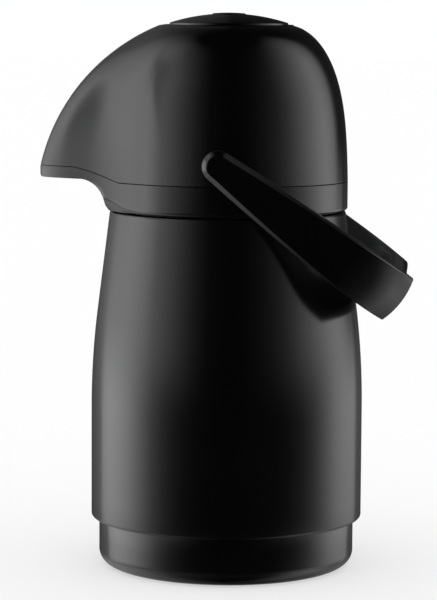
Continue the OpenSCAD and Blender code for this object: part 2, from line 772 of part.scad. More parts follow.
module valve_stem() {
    color(milky) {
        post(0, 0, valve_r, bellows_top_z + bellows_plate_t - valve_step, crown(valve_r) - button_wall);
        post(0, 0, valve_r - valve_step, bellows_top_z - valve_tip, bellows_top_z + bellows_plate_t);
    }
}

module bellows_plate() {
    color(black) difference() {
        post(0, 0, bellows_plate_r, bellows_top_z, bellows_top_z + bellows_plate_t);
        post(0, 0, valve_r - valve_step + fit, bellows_top_z - eps, bellows_top_z + bellows_plate_t);
        post(0, 0, valve_r + snug, bellows_top_z + bellows_plate_t - valve_step,
             bellows_top_z + bellows_plate_t + eps);
    }
}

module bellows() {
    h = bellows_top_z - drum_z;
    step = h / bellows_folds;
    out = [for (i = [0:bellows_folds - 1]) each [
        [bellows_r - bellows_fold, drum_z + i * step], [bellows_r, drum_z + (i + 0.5) * step]]];
    inside = [for (p = reversed(out)) [p[0] - bellows_wall, p[1]]];
    color(rubber) rotate_extrude() polygon(concat(
        out, [[bellows_r - bellows_fold, bellows_top_z],
              [bellows_r - bellows_fold - bellows_wall, bellows_top_z]], inside));
}

module return_spring() {
    per_turn = 18;
    sides = 8;
    low = drum_z + spring_wire_r;
    h = bellows_top_z - drum_z - 2 * spring_wire_r;
    n = spring_turns * per_turn;
    outline = [for (i = [0:n], s = [0:sides - 1])
        let (a = 360 * i / per_turn, b = 360 * s / sides, r = spring_r + spring_wire_r * cos(b))
        [r * cos(a), r * sin(a), low + h * i / n + spring_wire_r * sin(b)]];
    walls = [for (i = [0:n - 1], s = [0:sides - 1])
        let (a = i * sides + s, b = i * sides + (s + 1) % sides,
             c = (i + 1) * sides + (s + 1) % sides, d = (i + 1) * sides + s)
        each [[a, c, b], [a, d, c]]];
    ends = [for (s = [1:sides - 2]) each [
        [0, s, s + 1], [n * sides, n * sides + s + 1, n * sides + s]]];
    color(steel) polyhedron(points = outline, faces = concat(walls, ends), convexity = 10);
}

module stopper() {
    color(black) difference() {
        post(0, 0, stopper_r, plate_z - stopper_h, plate_z);
        post(-tube_x, 0, tube_r + snug, plate_z - stopper_h - eps, plate_z + eps);
        post(air_x, 0, air_r, plate_z - stopper_h - eps, plate_z + eps);
    }
}

module stopper_seal() {
    color(milky) ring(seal_r_in, seal_r_in + seal_w, deck_z + fit / 2, deck_z + fit / 2 + seal_t);
}

module suction_tube() {
    color(milky) translate([-tube_x, 0, 0])
        ring(tube_r - tube_wall, tube_r, tube_z0, plate_z - fit);
}

module spout_pipe() {
    bore = pipe_r - pipe_wall;
    foot_z = jaw_floor_z + fit;
    color(milky) difference() {
        union() {
            post(-tube_x, 0, tube_r, plate_z, pipe_z);
            translate([-tube_x, 0, pipe_z]) rotate([0, -90, 0])
                cylinder(r = pipe_r, h = spout_x - tube_x);
            translate([-tube_x, 0, pipe_z]) sphere(r = pipe_r);
            translate([-spout_x, 0, pipe_z]) sphere(r = nozzle_r);
            post(-spout_x, 0, nozzle_r, foot_z, pipe_z);
        }
        post(-tube_x, 0, tube_r - tube_wall, plate_z - eps, pipe_z);
        translate([-tube_x, 0, pipe_z]) rotate([0, -90, 0])
            cylinder(r = bore, h = spout_x - tube_x);
        post(-spout_x, 0, nozzle_r - pipe_wall, foot_z - eps, pipe_z);
    }
}

// Outline of the bail in its own plane: reach along x, half width along y
function bend(reach, half_w, steps) = [
    for (i = [0:steps])
        let (a = 90 * i / steps)
        [reach * pow(sin(a), 2 / bail_power), half_w * pow(cos(a), 2 / bail_power)]];

function mirrored(p) = [for (i = [len(p) - 2:-1:0]) [p[i][0], -p[i][1]]];

// Half the bail's height at distance x from the pivots
function bail_half_h(x) =
    let (u = max(0, x / bail_reach))
    eye_r + (grip_half_h - eye_r) * u + 4 * arm_belly * u * (1 - u);

module bail_plan() {
    steps = 26;
    outside = bend(bail_reach, bail_half_w, steps);
    inside = bend(bail_reach - grip_t, bail_half_w - arm_t, steps);
    both = concat([[-eye_r, bail_half_w]], outside, mirrored(outside), [[-eye_r, -bail_half_w]],
                  [[-eye_r, arm_t - bail_half_w]], reversed(mirrored(inside)), reversed(inside),
                  [[-eye_r, bail_half_w - arm_t]]);
    translate([0, 0, -2 * grip_half_h]) linear_extrude(height = 4 * grip_half_h) polygon(both);
}

module bail_side() {
    steps = 12;
    top = [for (i = [0:steps]) let (x = bail_reach * i / steps) [x, bail_half_h(x)]];
    eye = arc_points(0, 0, eye_r, 270, 90, 16);
    rotate([90, 0, 0]) translate([0, 0, -bail_half_w - 1]) linear_extrude(height = 2 * bail_half_w + 2)
        polygon(concat([for (p = top) p], [for (p = reversed(top)) [p[0], -p[1]]]));
    rotate([90, 0, 0]) translate([0, 0, -bail_half_w - 1])
        cylinder(r = eye_r, h = 2 * bail_half_w + 2);
}

module bail_handle() {
    dip_r = pow(bail_half_w * dip_share, 2) / (2 * grip_dip);
    color(black) translate([-pivot_x, 0, pivot_z]) rotate([0, bail_angle, 0]) difference() {
        intersection() {
            bail_plan();
            bail_side();
        }
        for (side = [-1, 1]) mirror([0, side < 0 ? 1 : 0, 0])
            translate([0, pin_start + pin_depth + running, 0]) rotate([90, 0, 0])
                cylinder(r = pin_r + running, h = pin_depth + running + eps);
        translate([bail_reach - grip_t - 2, 0, grip_half_h - grip_dip + dip_r])
            rotate([0, 90, 0]) cylinder(r = dip_r, h = grip_t + 4, $fn = 360);
    }
}

module pivot_pin(side) {
    color(steel) mirror([0, side < 0 ? 1 : 0, 0]) translate([-pivot_x, pin_y, pivot_z])
        rotate([-90, 0, 0]) {
            cylinder(r = pin_r, h = pin_start + pin_depth - pin_y);
            cylinder(r = pin_r + pin_head_out, h = pin_head_t);
        }
}

module pivot_washer(side) {
    color(black) mirror([0, side < 0 ? 1 : 0, 0]) translate([-pivot_x, 0, pivot_z])
        rotate([-90, 0, 0]) translate([0, 0, boss_y]) difference() {
            cylinder(r = boss_r, h = washer_t);
            translate([0, 0, -eps]) cylinder(r = pin_r + running, h = washer_t + 2 * eps);
        }
}

module head_screw(i) {
    head_z = body_top_z + fit + screw_sunk;
    color(steel) rotate([0, 0, (i - 1) * 360 / screw_count]) translate([screw_circle_r, 0, head_z]) {
        difference() {
            cylinder(r = screw_head_r, h = screw_head_h);
            for (turn = [0, 90]) rotate([0, 0, turn])
                translate([-screw_head_r * 0.6, -screw_slot_w / 2, -eps])
                    cube([screw_head_r * 1.2, screw_slot_w, screw_slot_d]);
        }
        cylinder(r = screw_r - snug, h = plate_top_z + screw_grip - head_z);
    }
}

body_shell();
base_cup();
foot_ring();
flask_seat();
centring_ring();
flask_outer();
flask_inner();
for (i = [1:pad_count]) spacer_pad(i);
mouth_seal();
head_collar();
bayonet_ring();
pump_plate();
dome_shell();
button_sleeve();
push_button();
button_pad();
valve_stem();
bellows();
bellows_plate();
return_spring();
stopper();
stopper_seal();
suction_tube();
spout_pipe();
bail_handle();
pivot_pin(-1);  // pivot_pin_left
pivot_pin(1);  // pivot_pin_right
pivot_washer(-1);  // pivot_washer_left
pivot_washer(1);  // pivot_washer_right
for (i = [1:screw_count]) head_screw(i);
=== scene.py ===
"""Push-button vacuum jug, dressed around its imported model.

Metres, +Z up, origin at the centre of the base, beak towards -X, grip towards +X.
"""

from __future__ import annotations

import logging
import math
from dataclasses import dataclass, field
from enum import Enum
from typing import Any, Callable, Iterable, Sequence

import bmesh
import bpy
from bmesh.types import BMEdge, BMesh, BMVert
from mathutils import Matrix, Vector

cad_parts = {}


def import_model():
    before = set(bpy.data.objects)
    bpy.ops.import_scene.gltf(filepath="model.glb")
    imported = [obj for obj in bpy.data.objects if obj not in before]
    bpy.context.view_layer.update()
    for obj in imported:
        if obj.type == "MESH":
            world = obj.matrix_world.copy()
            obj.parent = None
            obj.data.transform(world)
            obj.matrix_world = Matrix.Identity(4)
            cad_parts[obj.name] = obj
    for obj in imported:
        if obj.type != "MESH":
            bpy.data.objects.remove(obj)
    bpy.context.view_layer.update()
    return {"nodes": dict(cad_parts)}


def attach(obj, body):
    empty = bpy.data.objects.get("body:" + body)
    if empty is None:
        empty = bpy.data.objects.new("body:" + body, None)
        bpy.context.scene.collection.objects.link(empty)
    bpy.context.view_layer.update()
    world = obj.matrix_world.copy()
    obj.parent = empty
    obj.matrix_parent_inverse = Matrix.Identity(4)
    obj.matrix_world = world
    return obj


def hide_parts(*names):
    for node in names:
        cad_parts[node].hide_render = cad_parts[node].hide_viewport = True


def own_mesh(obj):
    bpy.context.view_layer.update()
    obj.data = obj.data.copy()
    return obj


LOG = logging.getLogger("vacuum_jug")
MM = 0.001
FULL_TURN = 2 * math.pi
QUARTER_TURN = math.pi / 2
ROUND_STEPS = 192
Profile = list[tuple[float, float]]
Stops = tuple[tuple[float, float], ...]
Triple = tuple[float, float, float]


class Body(Enum):
    """Rigid bodies of the jug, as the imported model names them."""

    BOTTLE = "bottle"
    SEAL = "seal_ring"
    HEAD = "head"
    BUTTON = "button"
    BAIL = "bail"


# Shader graphs


class Wire:
    """A shader socket that Python's operators compute with."""

    def __init__(self, graph: "Graph", socket: bpy.types.NodeSocket) -> None:
        """Wraps a socket.

        Args:
            graph: The graph that the socket belongs to.
            socket: An output socket.
        """
        self.graph = graph
        self.socket = socket

    def _math(self, operation: str, first: Any, second: Any = None) -> "Wire":
        """Adds one Math node."""
        values = {0: first} if second is None else {0: first, 1: second}
        return self.graph.node("ShaderNodeMath", {"operation": operation}, values)

    def __add__(self, other: Any) -> "Wire":
        """Sum."""
        return self._math("ADD", self, other)

    def __radd__(self, other: Any) -> "Wire":
        """Sum with a number on the left."""
        return self._math("ADD", other, self)

    def __sub__(self, other: Any) -> "Wire":
        """Difference."""
        return self._math("SUBTRACT", self, other)

    def __rsub__(self, other: Any) -> "Wire":
        """Difference from a number on the left."""
        return self._math("SUBTRACT", other, self)

    def __mul__(self, other: Any) -> "Wire":
        """Product."""
        return self._math("MULTIPLY", self, other)

    def __truediv__(self, other: Any) -> "Wire":
        """Quotient."""
        return self._math("DIVIDE", self, other)

    def __pow__(self, other: Any) -> "Wire":
        """Power."""
        return self._math("POWER", self, other)

    def __abs__(self) -> "Wire":
        """Size without the sign."""
        return self._math("ABSOLUTE", self)

    def ramp(self, low: float, high: float) -> "Wire":
        """Smooth step from 0 at low to 1 at high.

        Args:
            low: Value that gives 0.
            high: Value that gives 1.

        Returns:
            The stepped value.
        """
        return self.graph.node(
            "ShaderNodeMapRange",
            {"interpolation_type": "SMOOTHSTEP", "clamp": True},
            {"Value": self, "From Min": low, "From Max": high, "To Min": 0.0, "To Max": 1.0},
        )


class Graph:
    """Builds one node tree."""

    def __init__(self, tree: bpy.types.NodeTree) -> None:
        """Empties the tree.

        Args:
            tree: The node tree to fill.
        """
        self.tree = tree
        tree.nodes.clear()

    def node(
        self,
        kind: str,
        settings: dict[str, Any] | None = None,
        sockets: dict[str | int, Any] | None = None,
        out: str | int = 0,
    ) -> Wire:
        """Adds a node, sets it up and joins it.

        Args:
            kind: The node's type.
            settings: Properties of the node, or "stops" for the stops of a ramp.
            sockets: Numbers, colours, vectors or wires by socket name or index.
            out: The output that is returned.

        Returns:
            The wire of that output.
        """
        made = self.tree.nodes.new(kind)
        for name, value in (settings or {}).items():
            if name == "stops":
                self._set_stops(made.color_ramp, value)
            else:
                setattr(made, name, value)
        for name, value in (sockets or {}).items():
            if isinstance(value, Wire):
                self.tree.links.new(value.socket, made.inputs[name])
            else:
                made.inputs[name].default_value = value
        return Wire(self, made.outputs[out]) if len(made.outputs) else Wire(self, None)

    @staticmethod
    def _set_stops(ramp: bpy.types.ColorRamp, stops: Iterable[tuple[float, float]]) -> None:
        """Gives a ramp its grey stops."""
        stops = list(stops)
        while len(ramp.elements) < len(stops):
            ramp.elements.new(1.0)
        for element, (place, grey) in zip(ramp.elements, stops):
            element.position = place
            element.color = (grey, grey, grey, 1.0)

    def object_point(self) -> Wire:
        """The point's place in the object's own metres."""
        return self.node("ShaderNodeTexCoord", out="Object")

    def coordinate(self, axis: int, vector: Wire | None = None) -> Wire:
        """One coordinate of a vector, by default of the object's own point."""
        source = vector or self.object_point()
        return self.node("ShaderNodeSeparateXYZ", {}, {0: source}, out=axis)

    def stretched(self, scale: Triple, turn: float = 0.0) -> Wire:
        """The point's place, scaled by axis and turned about Z.

        Args:
            scale: Scale along each axis.
            turn: Turn about Z in degrees.

        Returns:
            The mapped vector.
        """
        sockets = {
            "Vector": self.object_point(),
            "Scale": scale,
            "Rotation": (0, 0, math.radians(turn)),
        }
        return self.node("ShaderNodeMapping", {"vector_type": "POINT"}, sockets)

    def noise(self, scale: float, detail: float = 3.0, vector: Wire | None = None) -> Wire:
        """Cloudy noise between 0 and 1.

        Args:
            scale: Waves for each metre.
            detail: Octaves.
            vector: Where it is read, the object's own metres by default.

        Returns:
            The noise's value.
        """
        return self.node(
            "ShaderNodeTexNoise",
            {"noise_dimensions": "3D"},
            {"Vector": vector or self.object_point(), "Scale": scale, "Detail": detail},
        )

    def mix_colour(self, share: Any, first: Any, second: Any) -> Wire:
        """Blend of two colours.

        Args:
            share: Share of the second colour.
            first: First colour, four numbers or a wire.
            second: Second colour, four numbers or a wire.

        Returns:
            The blended colour.
        """
        return self.node(
            "ShaderNodeMix",
            {"data_type": "RGBA", "clamp_factor": True},
            {0: share, 6: first, 7: second},
            out=2,
        )

    def grey_ramp(self, share: Wire, stops: Iterable[tuple[float, float]]) -> Wire:
        """Grey level read off its stops at a share between 0 and 1."""
        return self.node("ShaderNodeValToRGB", {"stops": stops}, {0: share})

    def bump(self, height: Wire, distance: float, strength: float = 1.0) -> Wire:
        """Normal disturbed by a height.

        Args:
            height: The height's wire.
            distance: Height in metres of the value 1.
            strength: Share of the effect.

        Returns:
            The normal's wire.
        """
        sockets = {"Height": height, "Distance": distance, "Strength": strength}
        return self.node("ShaderNodeBump", {}, sockets)

    def surface(self, sockets: dict[str, Any]) -> Wire:
        """The surface shader with these sockets set."""
        return self.node("ShaderNodeBsdfPrincipled", {}, sockets)


def shade(colour: Triple, share: float = 1.0, lift: float = 0.0) -> tuple[float, ...]:
    """An opaque colour, scaled by a share and then lifted."""
    return (*[part * share + lift for part in colour], 1.0)


def grey(level: float) -> tuple[float, ...]:
    """An opaque grey of that linear level."""
    return shade((level, level, level))


def material_of(name: str, shader: Callable[[Graph], Wire]) -> bpy.types.Material:
    """Makes a material around one shader.

    Args:
        name: The material's name.
        shader: Builds the shader in a graph.

    Returns:
        The new material.
    """
    made = bpy.data.materials.new(name)
    made.use_nodes = True
    graph = Graph(made.node_tree)
    graph.node("ShaderNodeOutputMaterial", {}, {"Surface": shader(graph)})
    return made


# Finishes


@dataclass(frozen=True)
class Finish:
    """A finish that can make its material."""

    name: str

    def material(self) -> bpy.types.Material:
        """Makes the material, or gives the one that is there.

        Returns:
            The finish's material.
        """
        known = bpy.data.materials.get(self.name)
        return material_of(self.name, self.shader) if known is None else known

    def shader(self, graph: Graph) -> Wire:
        """Builds the finish's shader.

        Args:
            graph: The graph to build in.

        Returns:
            The shader's wire.
        """
        raise NotImplementedError


@dataclass(frozen=True)
class MouldedPlastic(Finish):
    """Injection-moulded plastic: satin gloss, faint grain, flow clouds, hairlines and scuffs."""

    colour: Triple = (0.0012, 0.0012, 0.00125)
    roughness: float = 0.17
    grain: float = 2400.0
    grain_depth: float = 0.0000022
    cloud: float = 24.0
    cloud_share: float = 0.035
    cloud_tint: tuple[float, float] = (0.82, 1.18)
    hairline: float = 0.05
    scuff_top: float = 0.0
    scuff_rough: float = 0.22
    scuff_colour: Triple = (0.03, 0.03, 0.031)
    mould_rough: float = 0.28
    # Lighter colour of the textured part: painted light, not a colour of the plastic.
    mould_and_painted_light_colour: Triple = (0.024, 0.024, 0.0245)
    mould_scale: float = 1700.0
    spark: bool = False
    spark_scale: float = 1500.0
    coarse_relief: float = 9.0

    def texture_and_painted_light(self, graph: Graph) -> Wire | None:
        """Share of a coarser mould texture, whose lighter colour is painted light, none on a plain
        piece.
        """
        return None

    def shader(self, graph: Graph) -> Wire:
        """Builds the plastic's shader."""
        clouds = graph.noise(self.cloud, 4.0)
        drift = graph.noise(self.cloud * 0.22, 2.0)
        fine = graph.noise(self.grain, 2.0)
        waves = graph.noise(self.cloud * 5, 1.0)
        lines = graph.noise(60.0, 2.0, graph.stretched((34.0, 34.0, 1.1), 31.0))
        marks = lines.ramp(0.715, 0.76) * clouds.ramp(0.44, 0.62)
        rough = self.roughness + (clouds - 0.5) * self.cloud_share * 2
        rough = rough + (drift - 0.5) * self.cloud_share + marks * self.hairline
        dark, light = [shade(self.colour, tint) for tint in self.cloud_tint]
        base = graph.mix_colour(clouds.ramp(0.2, 0.8), dark, light)
        if self.scuff_top > 0:
            specks = graph.noise(900.0, 3.0).ramp(0.56, 0.7)
            worn = (1 - graph.coordinate(2).ramp(0.0, self.scuff_top)) * specks
            rough = rough + worn * self.scuff_rough
            base = graph.mix_colour(worn * 0.5, base, shade(self.scuff_colour))
        relief = fine * 0.6 + waves * 6.0 - marks * 1.2
        # Painted light: the lighter colour stands in for the light that the bail's inner face
        # catches; the added roughness and relief are the mould's real texture.
        texture_and_painted_light_share = self.texture_and_painted_light(graph)
        if texture_and_painted_light_share is not None:
            rough = rough + texture_and_painted_light_share * self.mould_rough
            base = graph.mix_colour(texture_and_painted_light_share, base, shade(self.mould_and_painted_light_colour))
            relief = relief + texture_and_painted_light_share * graph.noise(self.mould_scale, 2.0) * self.coarse_relief
        if self.spark:
            sockets = {"Vector": graph.object_point(), "Scale": self.spark_scale}
            cells = graph.node("ShaderNodeTexVoronoi", {}, sockets)
            relief = relief + cells * self.coarse_relief
        bump = graph.bump(relief, self.grain_depth)
        return graph.surface({"Base Color": base, "Roughness": rough, "IOR": 1.5, "Normal": bump})


@dataclass(frozen=True)
class BailPlastic(MouldedPlastic):
    """The bail's plastic, textured by the mould on its inner face and lightened there with painted
    light.
    """

    pivot: tuple[float, float] = (-3.0, 217.0)
    angle: float = 36.8
    reach: float = 118.3
    half_w: float = 70.0
    power: float = 4.6
    inner_band: tuple[float, float] = (0.78, 0.88)

    def texture_and_painted_light(self, graph: Graph) -> Wire | None:
        """Share of the texture and its painted light, 1 on the bail's inner face and 0 on its outer
        one.
        """
        x, y, z = [graph.coordinate(axis) / MM for axis in range(3)]
        turn = math.radians(self.angle)
        along = (x - self.pivot[0]) * math.cos(turn) - (z - self.pivot[1]) * math.sin(turn)
        grown = abs(along / self.reach) ** self.power + abs(y / self.half_w) ** self.power
        return 1 - grown.ramp(*self.inner_band)


@dataclass(frozen=True)
class SoftRubber(Finish):
    """Matt rubber or silicone with a fine dusty grain."""

    colour: Triple = (0.02, 0.02, 0.021)
    roughness: float = 0.62
    dust_tint: tuple[float, float] = (1.7, 0.008)
    grain_depth: float = 0.00004

    def shader(self, graph: Graph) -> Wire:
        """Builds the rubber's shader."""
        clouds = graph.noise(70.0, 4.0)
        dust = graph.noise(1300.0, 2.0).ramp(0.6, 0.78)
        dusty = shade(self.colour, *self.dust_tint)
        return graph.surface({
            "Base Color": graph.mix_colour(dust * 0.35 + clouds * 0.2, shade(self.colour), dusty),
            "Roughness": self.roughness + (clouds - 0.5) * 0.15,
            "Sheen Weight": 0.15,
            "Normal": graph.bump(graph.noise(1800.0, 3.0), self.grain_depth, 0.7),
        })


@dataclass(frozen=True)
class MilkyPlastic(Finish):
    """Natural polypropylene, milky and slightly waxy."""

    colour: Triple = (0.72, 0.74, 0.72)
    roughness: float = 0.38
    wave_depth: float = 0.00002

    def shader(self, graph: Graph) -> Wire:
        """Builds the milky plastic's shader."""
        clouds = graph.noise(55.0, 4.0)
        return graph.surface({
            "Base Color": graph.mix_colour(clouds, shade(self.colour, 0.9), shade(self.colour)),
            "Roughness": self.roughness + (clouds - 0.5) * 0.12,
            "Subsurface Weight": 0.25,
            "Subsurface Scale": 0.002,
            "Normal": graph.bump(graph.noise(600.0, 3.0), self.wave_depth, 0.6),
        })


@dataclass(frozen=True)
class Steel(Finish):
    """Drawn or turned steel with fine tool lines."""

    colour: Triple = (0.56, 0.57, 0.58)
    roughness: float = 0.26
    line_depth: float = 0.00001

    def shader(self, graph: Graph) -> Wire:
        """Builds the steel's shader."""
        clouds = graph.noise(180.0, 3.0)
        lines = graph.noise(40.0, 2.0, graph.stretched((4.0, 4.0, 90.0)))
        return graph.surface({
            "Base Color": graph.mix_colour(clouds, shade(self.colour, 0.82), shade(self.colour)),
            "Metallic": 1.0,
            "Roughness": self.roughness + (lines - 0.5) * 0.2,
            "Normal": graph.bump(lines, self.line_depth, 0.5),
        })


@dataclass(frozen=True)
class SilveredGlass(Finish):
    """Glass of a vacuum flask, silvered on the inside of its gap."""

    colour: Triple = (0.82, 0.84, 0.85)
    spot_colour: Triple = (0.42, 0.44, 0.46)
    wave_depth: float = 0.0006

    def shader(self, graph: Graph) -> Wire:
        """Builds the silvered glass's shader."""
        waves = graph.noise(16.0, 3.0)
        spots = graph.noise(260.0, 3.0).ramp(0.66, 0.74)
        clouded = spots * 0.6 + waves * 0.15
        return graph.surface({
            "Base Color": graph.mix_colour(clouded, shade(self.colour), shade(self.spot_colour)),
            "Metallic": 1.0 - spots * 0.5,
            "Roughness": 0.07 + spots * 0.2,
            "Coat Weight": 1.0,
            "Coat Roughness": 0.02,
            "Normal": graph.bump(waves, self.wave_depth, 0.4),
        })


SHELL_BLACK = MouldedPlastic("shell_black_plastic", roughness=0.18)
BASE_BLACK = MouldedPlastic("base_black_plastic", roughness=0.16, scuff_top=0.004)
HEAD_BLACK = MouldedPlastic("head_black_plastic", roughness=0.12)
BUTTON_BLACK = MouldedPlastic("button_black_plastic", roughness=0.16)
PAD_BLACK = MouldedPlastic("pad_black_plastic", roughness=0.42, spark=True)
BAIL_BLACK = BailPlastic("bail_black_plastic", roughness=0.15, hairline=0.09)
INNER_BLACK = MouldedPlastic("inner_black_plastic", colour=(0.012, 0.012, 0.0125), roughness=0.36)
BLACK_RUBBER = SoftRubber("black_rubber")
SEAL_SILICONE = SoftRubber("milky_silicone", colour=(0.62, 0.63, 0.6), roughness=0.45)
MILKY = MilkyPlastic("milky_plastic")
BRIGHT_STEEL = Steel("bright_steel")
SPRING_STEEL = Steel("spring_steel_wire", colour=(0.46, 0.46, 0.47), roughness=0.3)
FLASK_GLASS = SilveredGlass("silvered_glass")


# Mesh tools


def arc(cx: float, cz: float, radius: float, start: float, end: float, steps: int) -> Profile:
    """Points on an arc of a section.

    Args:
        cx: Centre's distance from the axis.
        cz: Centre's height.
        radius: Radius.
        start: First angle in degrees, 0 outwards and 90 up.
        end: Last angle in degrees.
        steps: Number of steps.

    Returns:
        The arc's points.
    """
    turns = [math.radians(start + (end - start) * i / steps) for i in range(steps + 1)]
    return [(cx + radius * math.cos(t), cz + radius * math.sin(t)) for t in turns]


def chain(bm: BMesh, points: Iterable[Sequence[float]], closed: bool) -> list[Any]:
    """Joins points by edges.

    Args:
        bm: The mesh to add to.
        points: Places in millimetres.
        closed: Whether the last point joins the first.

    Returns:
        The new vertices and edges.
    """
    verts = [bm.verts.new(Vector(p) * MM) for p in points]
    pairs = zip(verts, verts[1:] + verts[:1]) if closed else zip(verts, verts[1:])
    return [*verts, *[bm.edges.new(pair) for pair in pairs]]


def tidy(bm: BMesh, gap: float = 0.004) -> BMesh:
    """Merges doubles and turns all faces outwards.

    Args:
        bm: The mesh.
        gap: Largest gap that is merged, in millimetres.

    Returns:
        The same mesh.
    """
    bmesh.ops.remove_doubles(bm, verts=bm.verts, dist=gap * MM)
    bmesh.ops.dissolve_degenerate(bm, dist=gap * MM * 0.1, edges=bm.edges)
    bmesh.ops.recalc_face_normals(bm, faces=bm.faces)
    return bm


def box(r0: float, r1: float, z0: float, z1: float) -> Profile:
    """Rectangular section between two radii and two heights."""
    return [(r0, z0), (r1, z0), (r1, z1), (r0, z1)]


def spun(profile: Profile, closed: bool = True, steps: int = ROUND_STEPS) -> BMesh:
    """Turns a section once round the upright axis.

    Args:
        profile: Distance from the axis and height of each point, in millimetres.
        closed: Whether the section is a closed loop.
        steps: Number of steps round the axis.

    Returns:
        The turned mesh.
    """
    bm = bmesh.new()
    geometry = chain(bm, [(r, 0, z) for r, z in profile], closed)
    bmesh.ops.spin(
        bm,
        geom=geometry,
        cent=(0, 0, 0),
        axis=(0, 0, 1),
        angle=FULL_TURN,
        steps=steps,
        use_merge=True,
    )
    return tidy(bm)


def moved(bm: BMesh, at: Triple, turn: float = 0.0, axis: str = "X") -> BMesh:
    """Turns a mesh about an axis through the origin, then carries it to a place.

    Args:
        bm: The mesh.
        at: Where its origin goes, in millimetres.
        turn: Turn in degrees.
        axis: Letter of the axis.

    Returns:
        The same mesh.
    """
    matrix = Matrix.Rotation(math.radians(turn), 3, axis)
    bmesh.ops.rotate(bm, verts=bm.verts, cent=(0, 0, 0), matrix=matrix)
    bmesh.ops.translate(bm, verts=bm.verts, vec=tuple(part * MM for part in at))
    return bm


def add_sector(
    bm: BMesh, profile: Profile, middle: float, span: float, steps: int = 16, rounding: float = 0.25
) -> None:
    """Adds a turned block that covers only an angle.

    Args:
        bm: The mesh to add to.
        profile: Closed section in millimetres.
        middle: Angle of its middle in degrees.
        span: Angle that it covers in degrees.
        steps: Number of steps.
        rounding: Width of its rounded edges in millimetres.
    """
    part = bmesh.new()
    verts = [part.verts.new((r * MM, 0, z * MM)) for r, z in profile]
    face = part.faces.new(verts)
    moved(part, (0.0, 0.0, 0.0), middle - span / 2, "Z")
    bmesh.ops.spin(
        part,
        geom=[*verts, *part.edges, face],
        cent=(0, 0, 0),
        axis=(0, 0, 1),
        angle=math.radians(span),
        steps=steps,
    )
    tidy(part)
    round_edges(part, rounding)
    absorb(bm, part)


def mesh_of(bm: BMesh, name: str) -> bpy.types.Mesh:
    """Makes a named mesh of one under construction, which is freed."""
    mesh = bpy.data.meshes.new(name)
    bm.to_mesh(mesh)
    bm.free()
    return mesh


def placed(name: str, data: bpy.types.ID) -> bpy.types.Object:
    """Puts a mesh or camera into the scene as an object."""
    made = bpy.data.objects.new(name, data)
    bpy.context.scene.collection.objects.link(made)
    return made


def absorb(bm: BMesh, part: BMesh) -> None:
    """Moves a part's mesh into another one.

    Args:
        bm: The mesh that grows.
        part: The mesh that is used up.
    """
    carrier = mesh_of(part, "carrier")
    bm.from_mesh(carrier)
    bpy.data.meshes.remove(carrier)


def round_edges(bm: BMesh, width: float, angle: float = 32.0, segments: int = 2) -> BMesh:
    """Bevels each edge that is sharper than an angle.

    Args:
        bm: The mesh.
        width: Width of the bevel in millimetres.
        angle: Smallest angle between faces in degrees.
        segments: Segments of the bevel.

    Returns:
        The same mesh.
    """
    limit = math.radians(angle)
    sharp = [e for e in bm.edges if len(e.link_faces) == 2 and e.calc_face_angle(0.0) > limit]
    bmesh.ops.bevel(
        bm,
        geom=sharp,
        offset=width * MM,
        offset_type="OFFSET",
        segments=segments,
        profile=0.5,
        affect="EDGES",
        clamp_overlap=True,
        material=-1,
    )
    return bm


def warp(bm: BMesh, place: Callable[[Vector], tuple[float, float, float]]) -> BMesh:
    """Moves each vertex to a place worked out from where it is, in millimetres.

    Args:
        bm: The mesh.
        place: Gives the new place of an old one.

    Returns:
        The same mesh.
    """
    for vert in bm.verts:
        vert.co = Vector(place(vert.co / MM)) * MM
    return bm


@dataclass(frozen=True)
class Piece:
    """What a finished mesh is called, rides on and stands for."""

    name: str
    body: Body
    slot: str
    finish: Finish
    stands_for: tuple[str, ...] = ()

    def deliver(self, bm: BMesh, sharp: float = 34.0) -> bpy.types.Object:
        """Makes the object, dresses it and lets it ride.

        Args:
            bm: The finished mesh, which is freed.
            sharp: Angle in degrees above which an edge stays sharp.

        Returns:
            The new object.
        """
        mesh = mesh_of(bm, self.name)
        for polygon in mesh.polygons:
            polygon.use_smooth = True
        mesh.set_sharp_from_angle(angle=math.radians(sharp))
        mesh.materials.append(self.finish.material())
        piece = placed(self.name, mesh)
        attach(piece, self.body.value)
        if self.stands_for:
            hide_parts(*self.stands_for)
        LOG.info("%s: %d faces on %s", self.name, len(mesh.polygons), self.body.value)
        return piece


def cut(piece: bpy.types.Object, tool: BMesh, name: str) -> None:
    """Cuts a closed tool out of a piece.

    Args:
        piece: The piece, whose mesh is changed.
        tool: The tool's mesh, which is freed.
        name: Name of the cut.
    """
    mesh = mesh_of(tool, name)
    cutter = placed(name, mesh)
    modifier = piece.modifiers.new(name, "BOOLEAN")
    modifier.object = cutter
    modifier.operation = "DIFFERENCE"
    modifier.solver = "EXACT"
    graph = bpy.context.evaluated_depsgraph_get()
    result = bpy.data.meshes.new_from_object(piece.evaluated_get(graph))
    piece.modifiers.clear()
    old, piece.data = piece.data, result
    bpy.data.meshes.remove(old)
    bpy.data.objects.remove(cutter)
    bpy.data.meshes.remove(mesh)


# The head's form


def ease(x: float, start: float, end: float) -> float:
    """Smooth step from 0 at start to 1 at end.

    Args:
        x: The value.
        start: Value that gives 0.
        end: Value that gives 1.

    Returns:
        The stepped value.
    """
    t = min(1.0, max(0.0, (x - start) / (end - start)))
    return t * t * (3 - 2 * t)


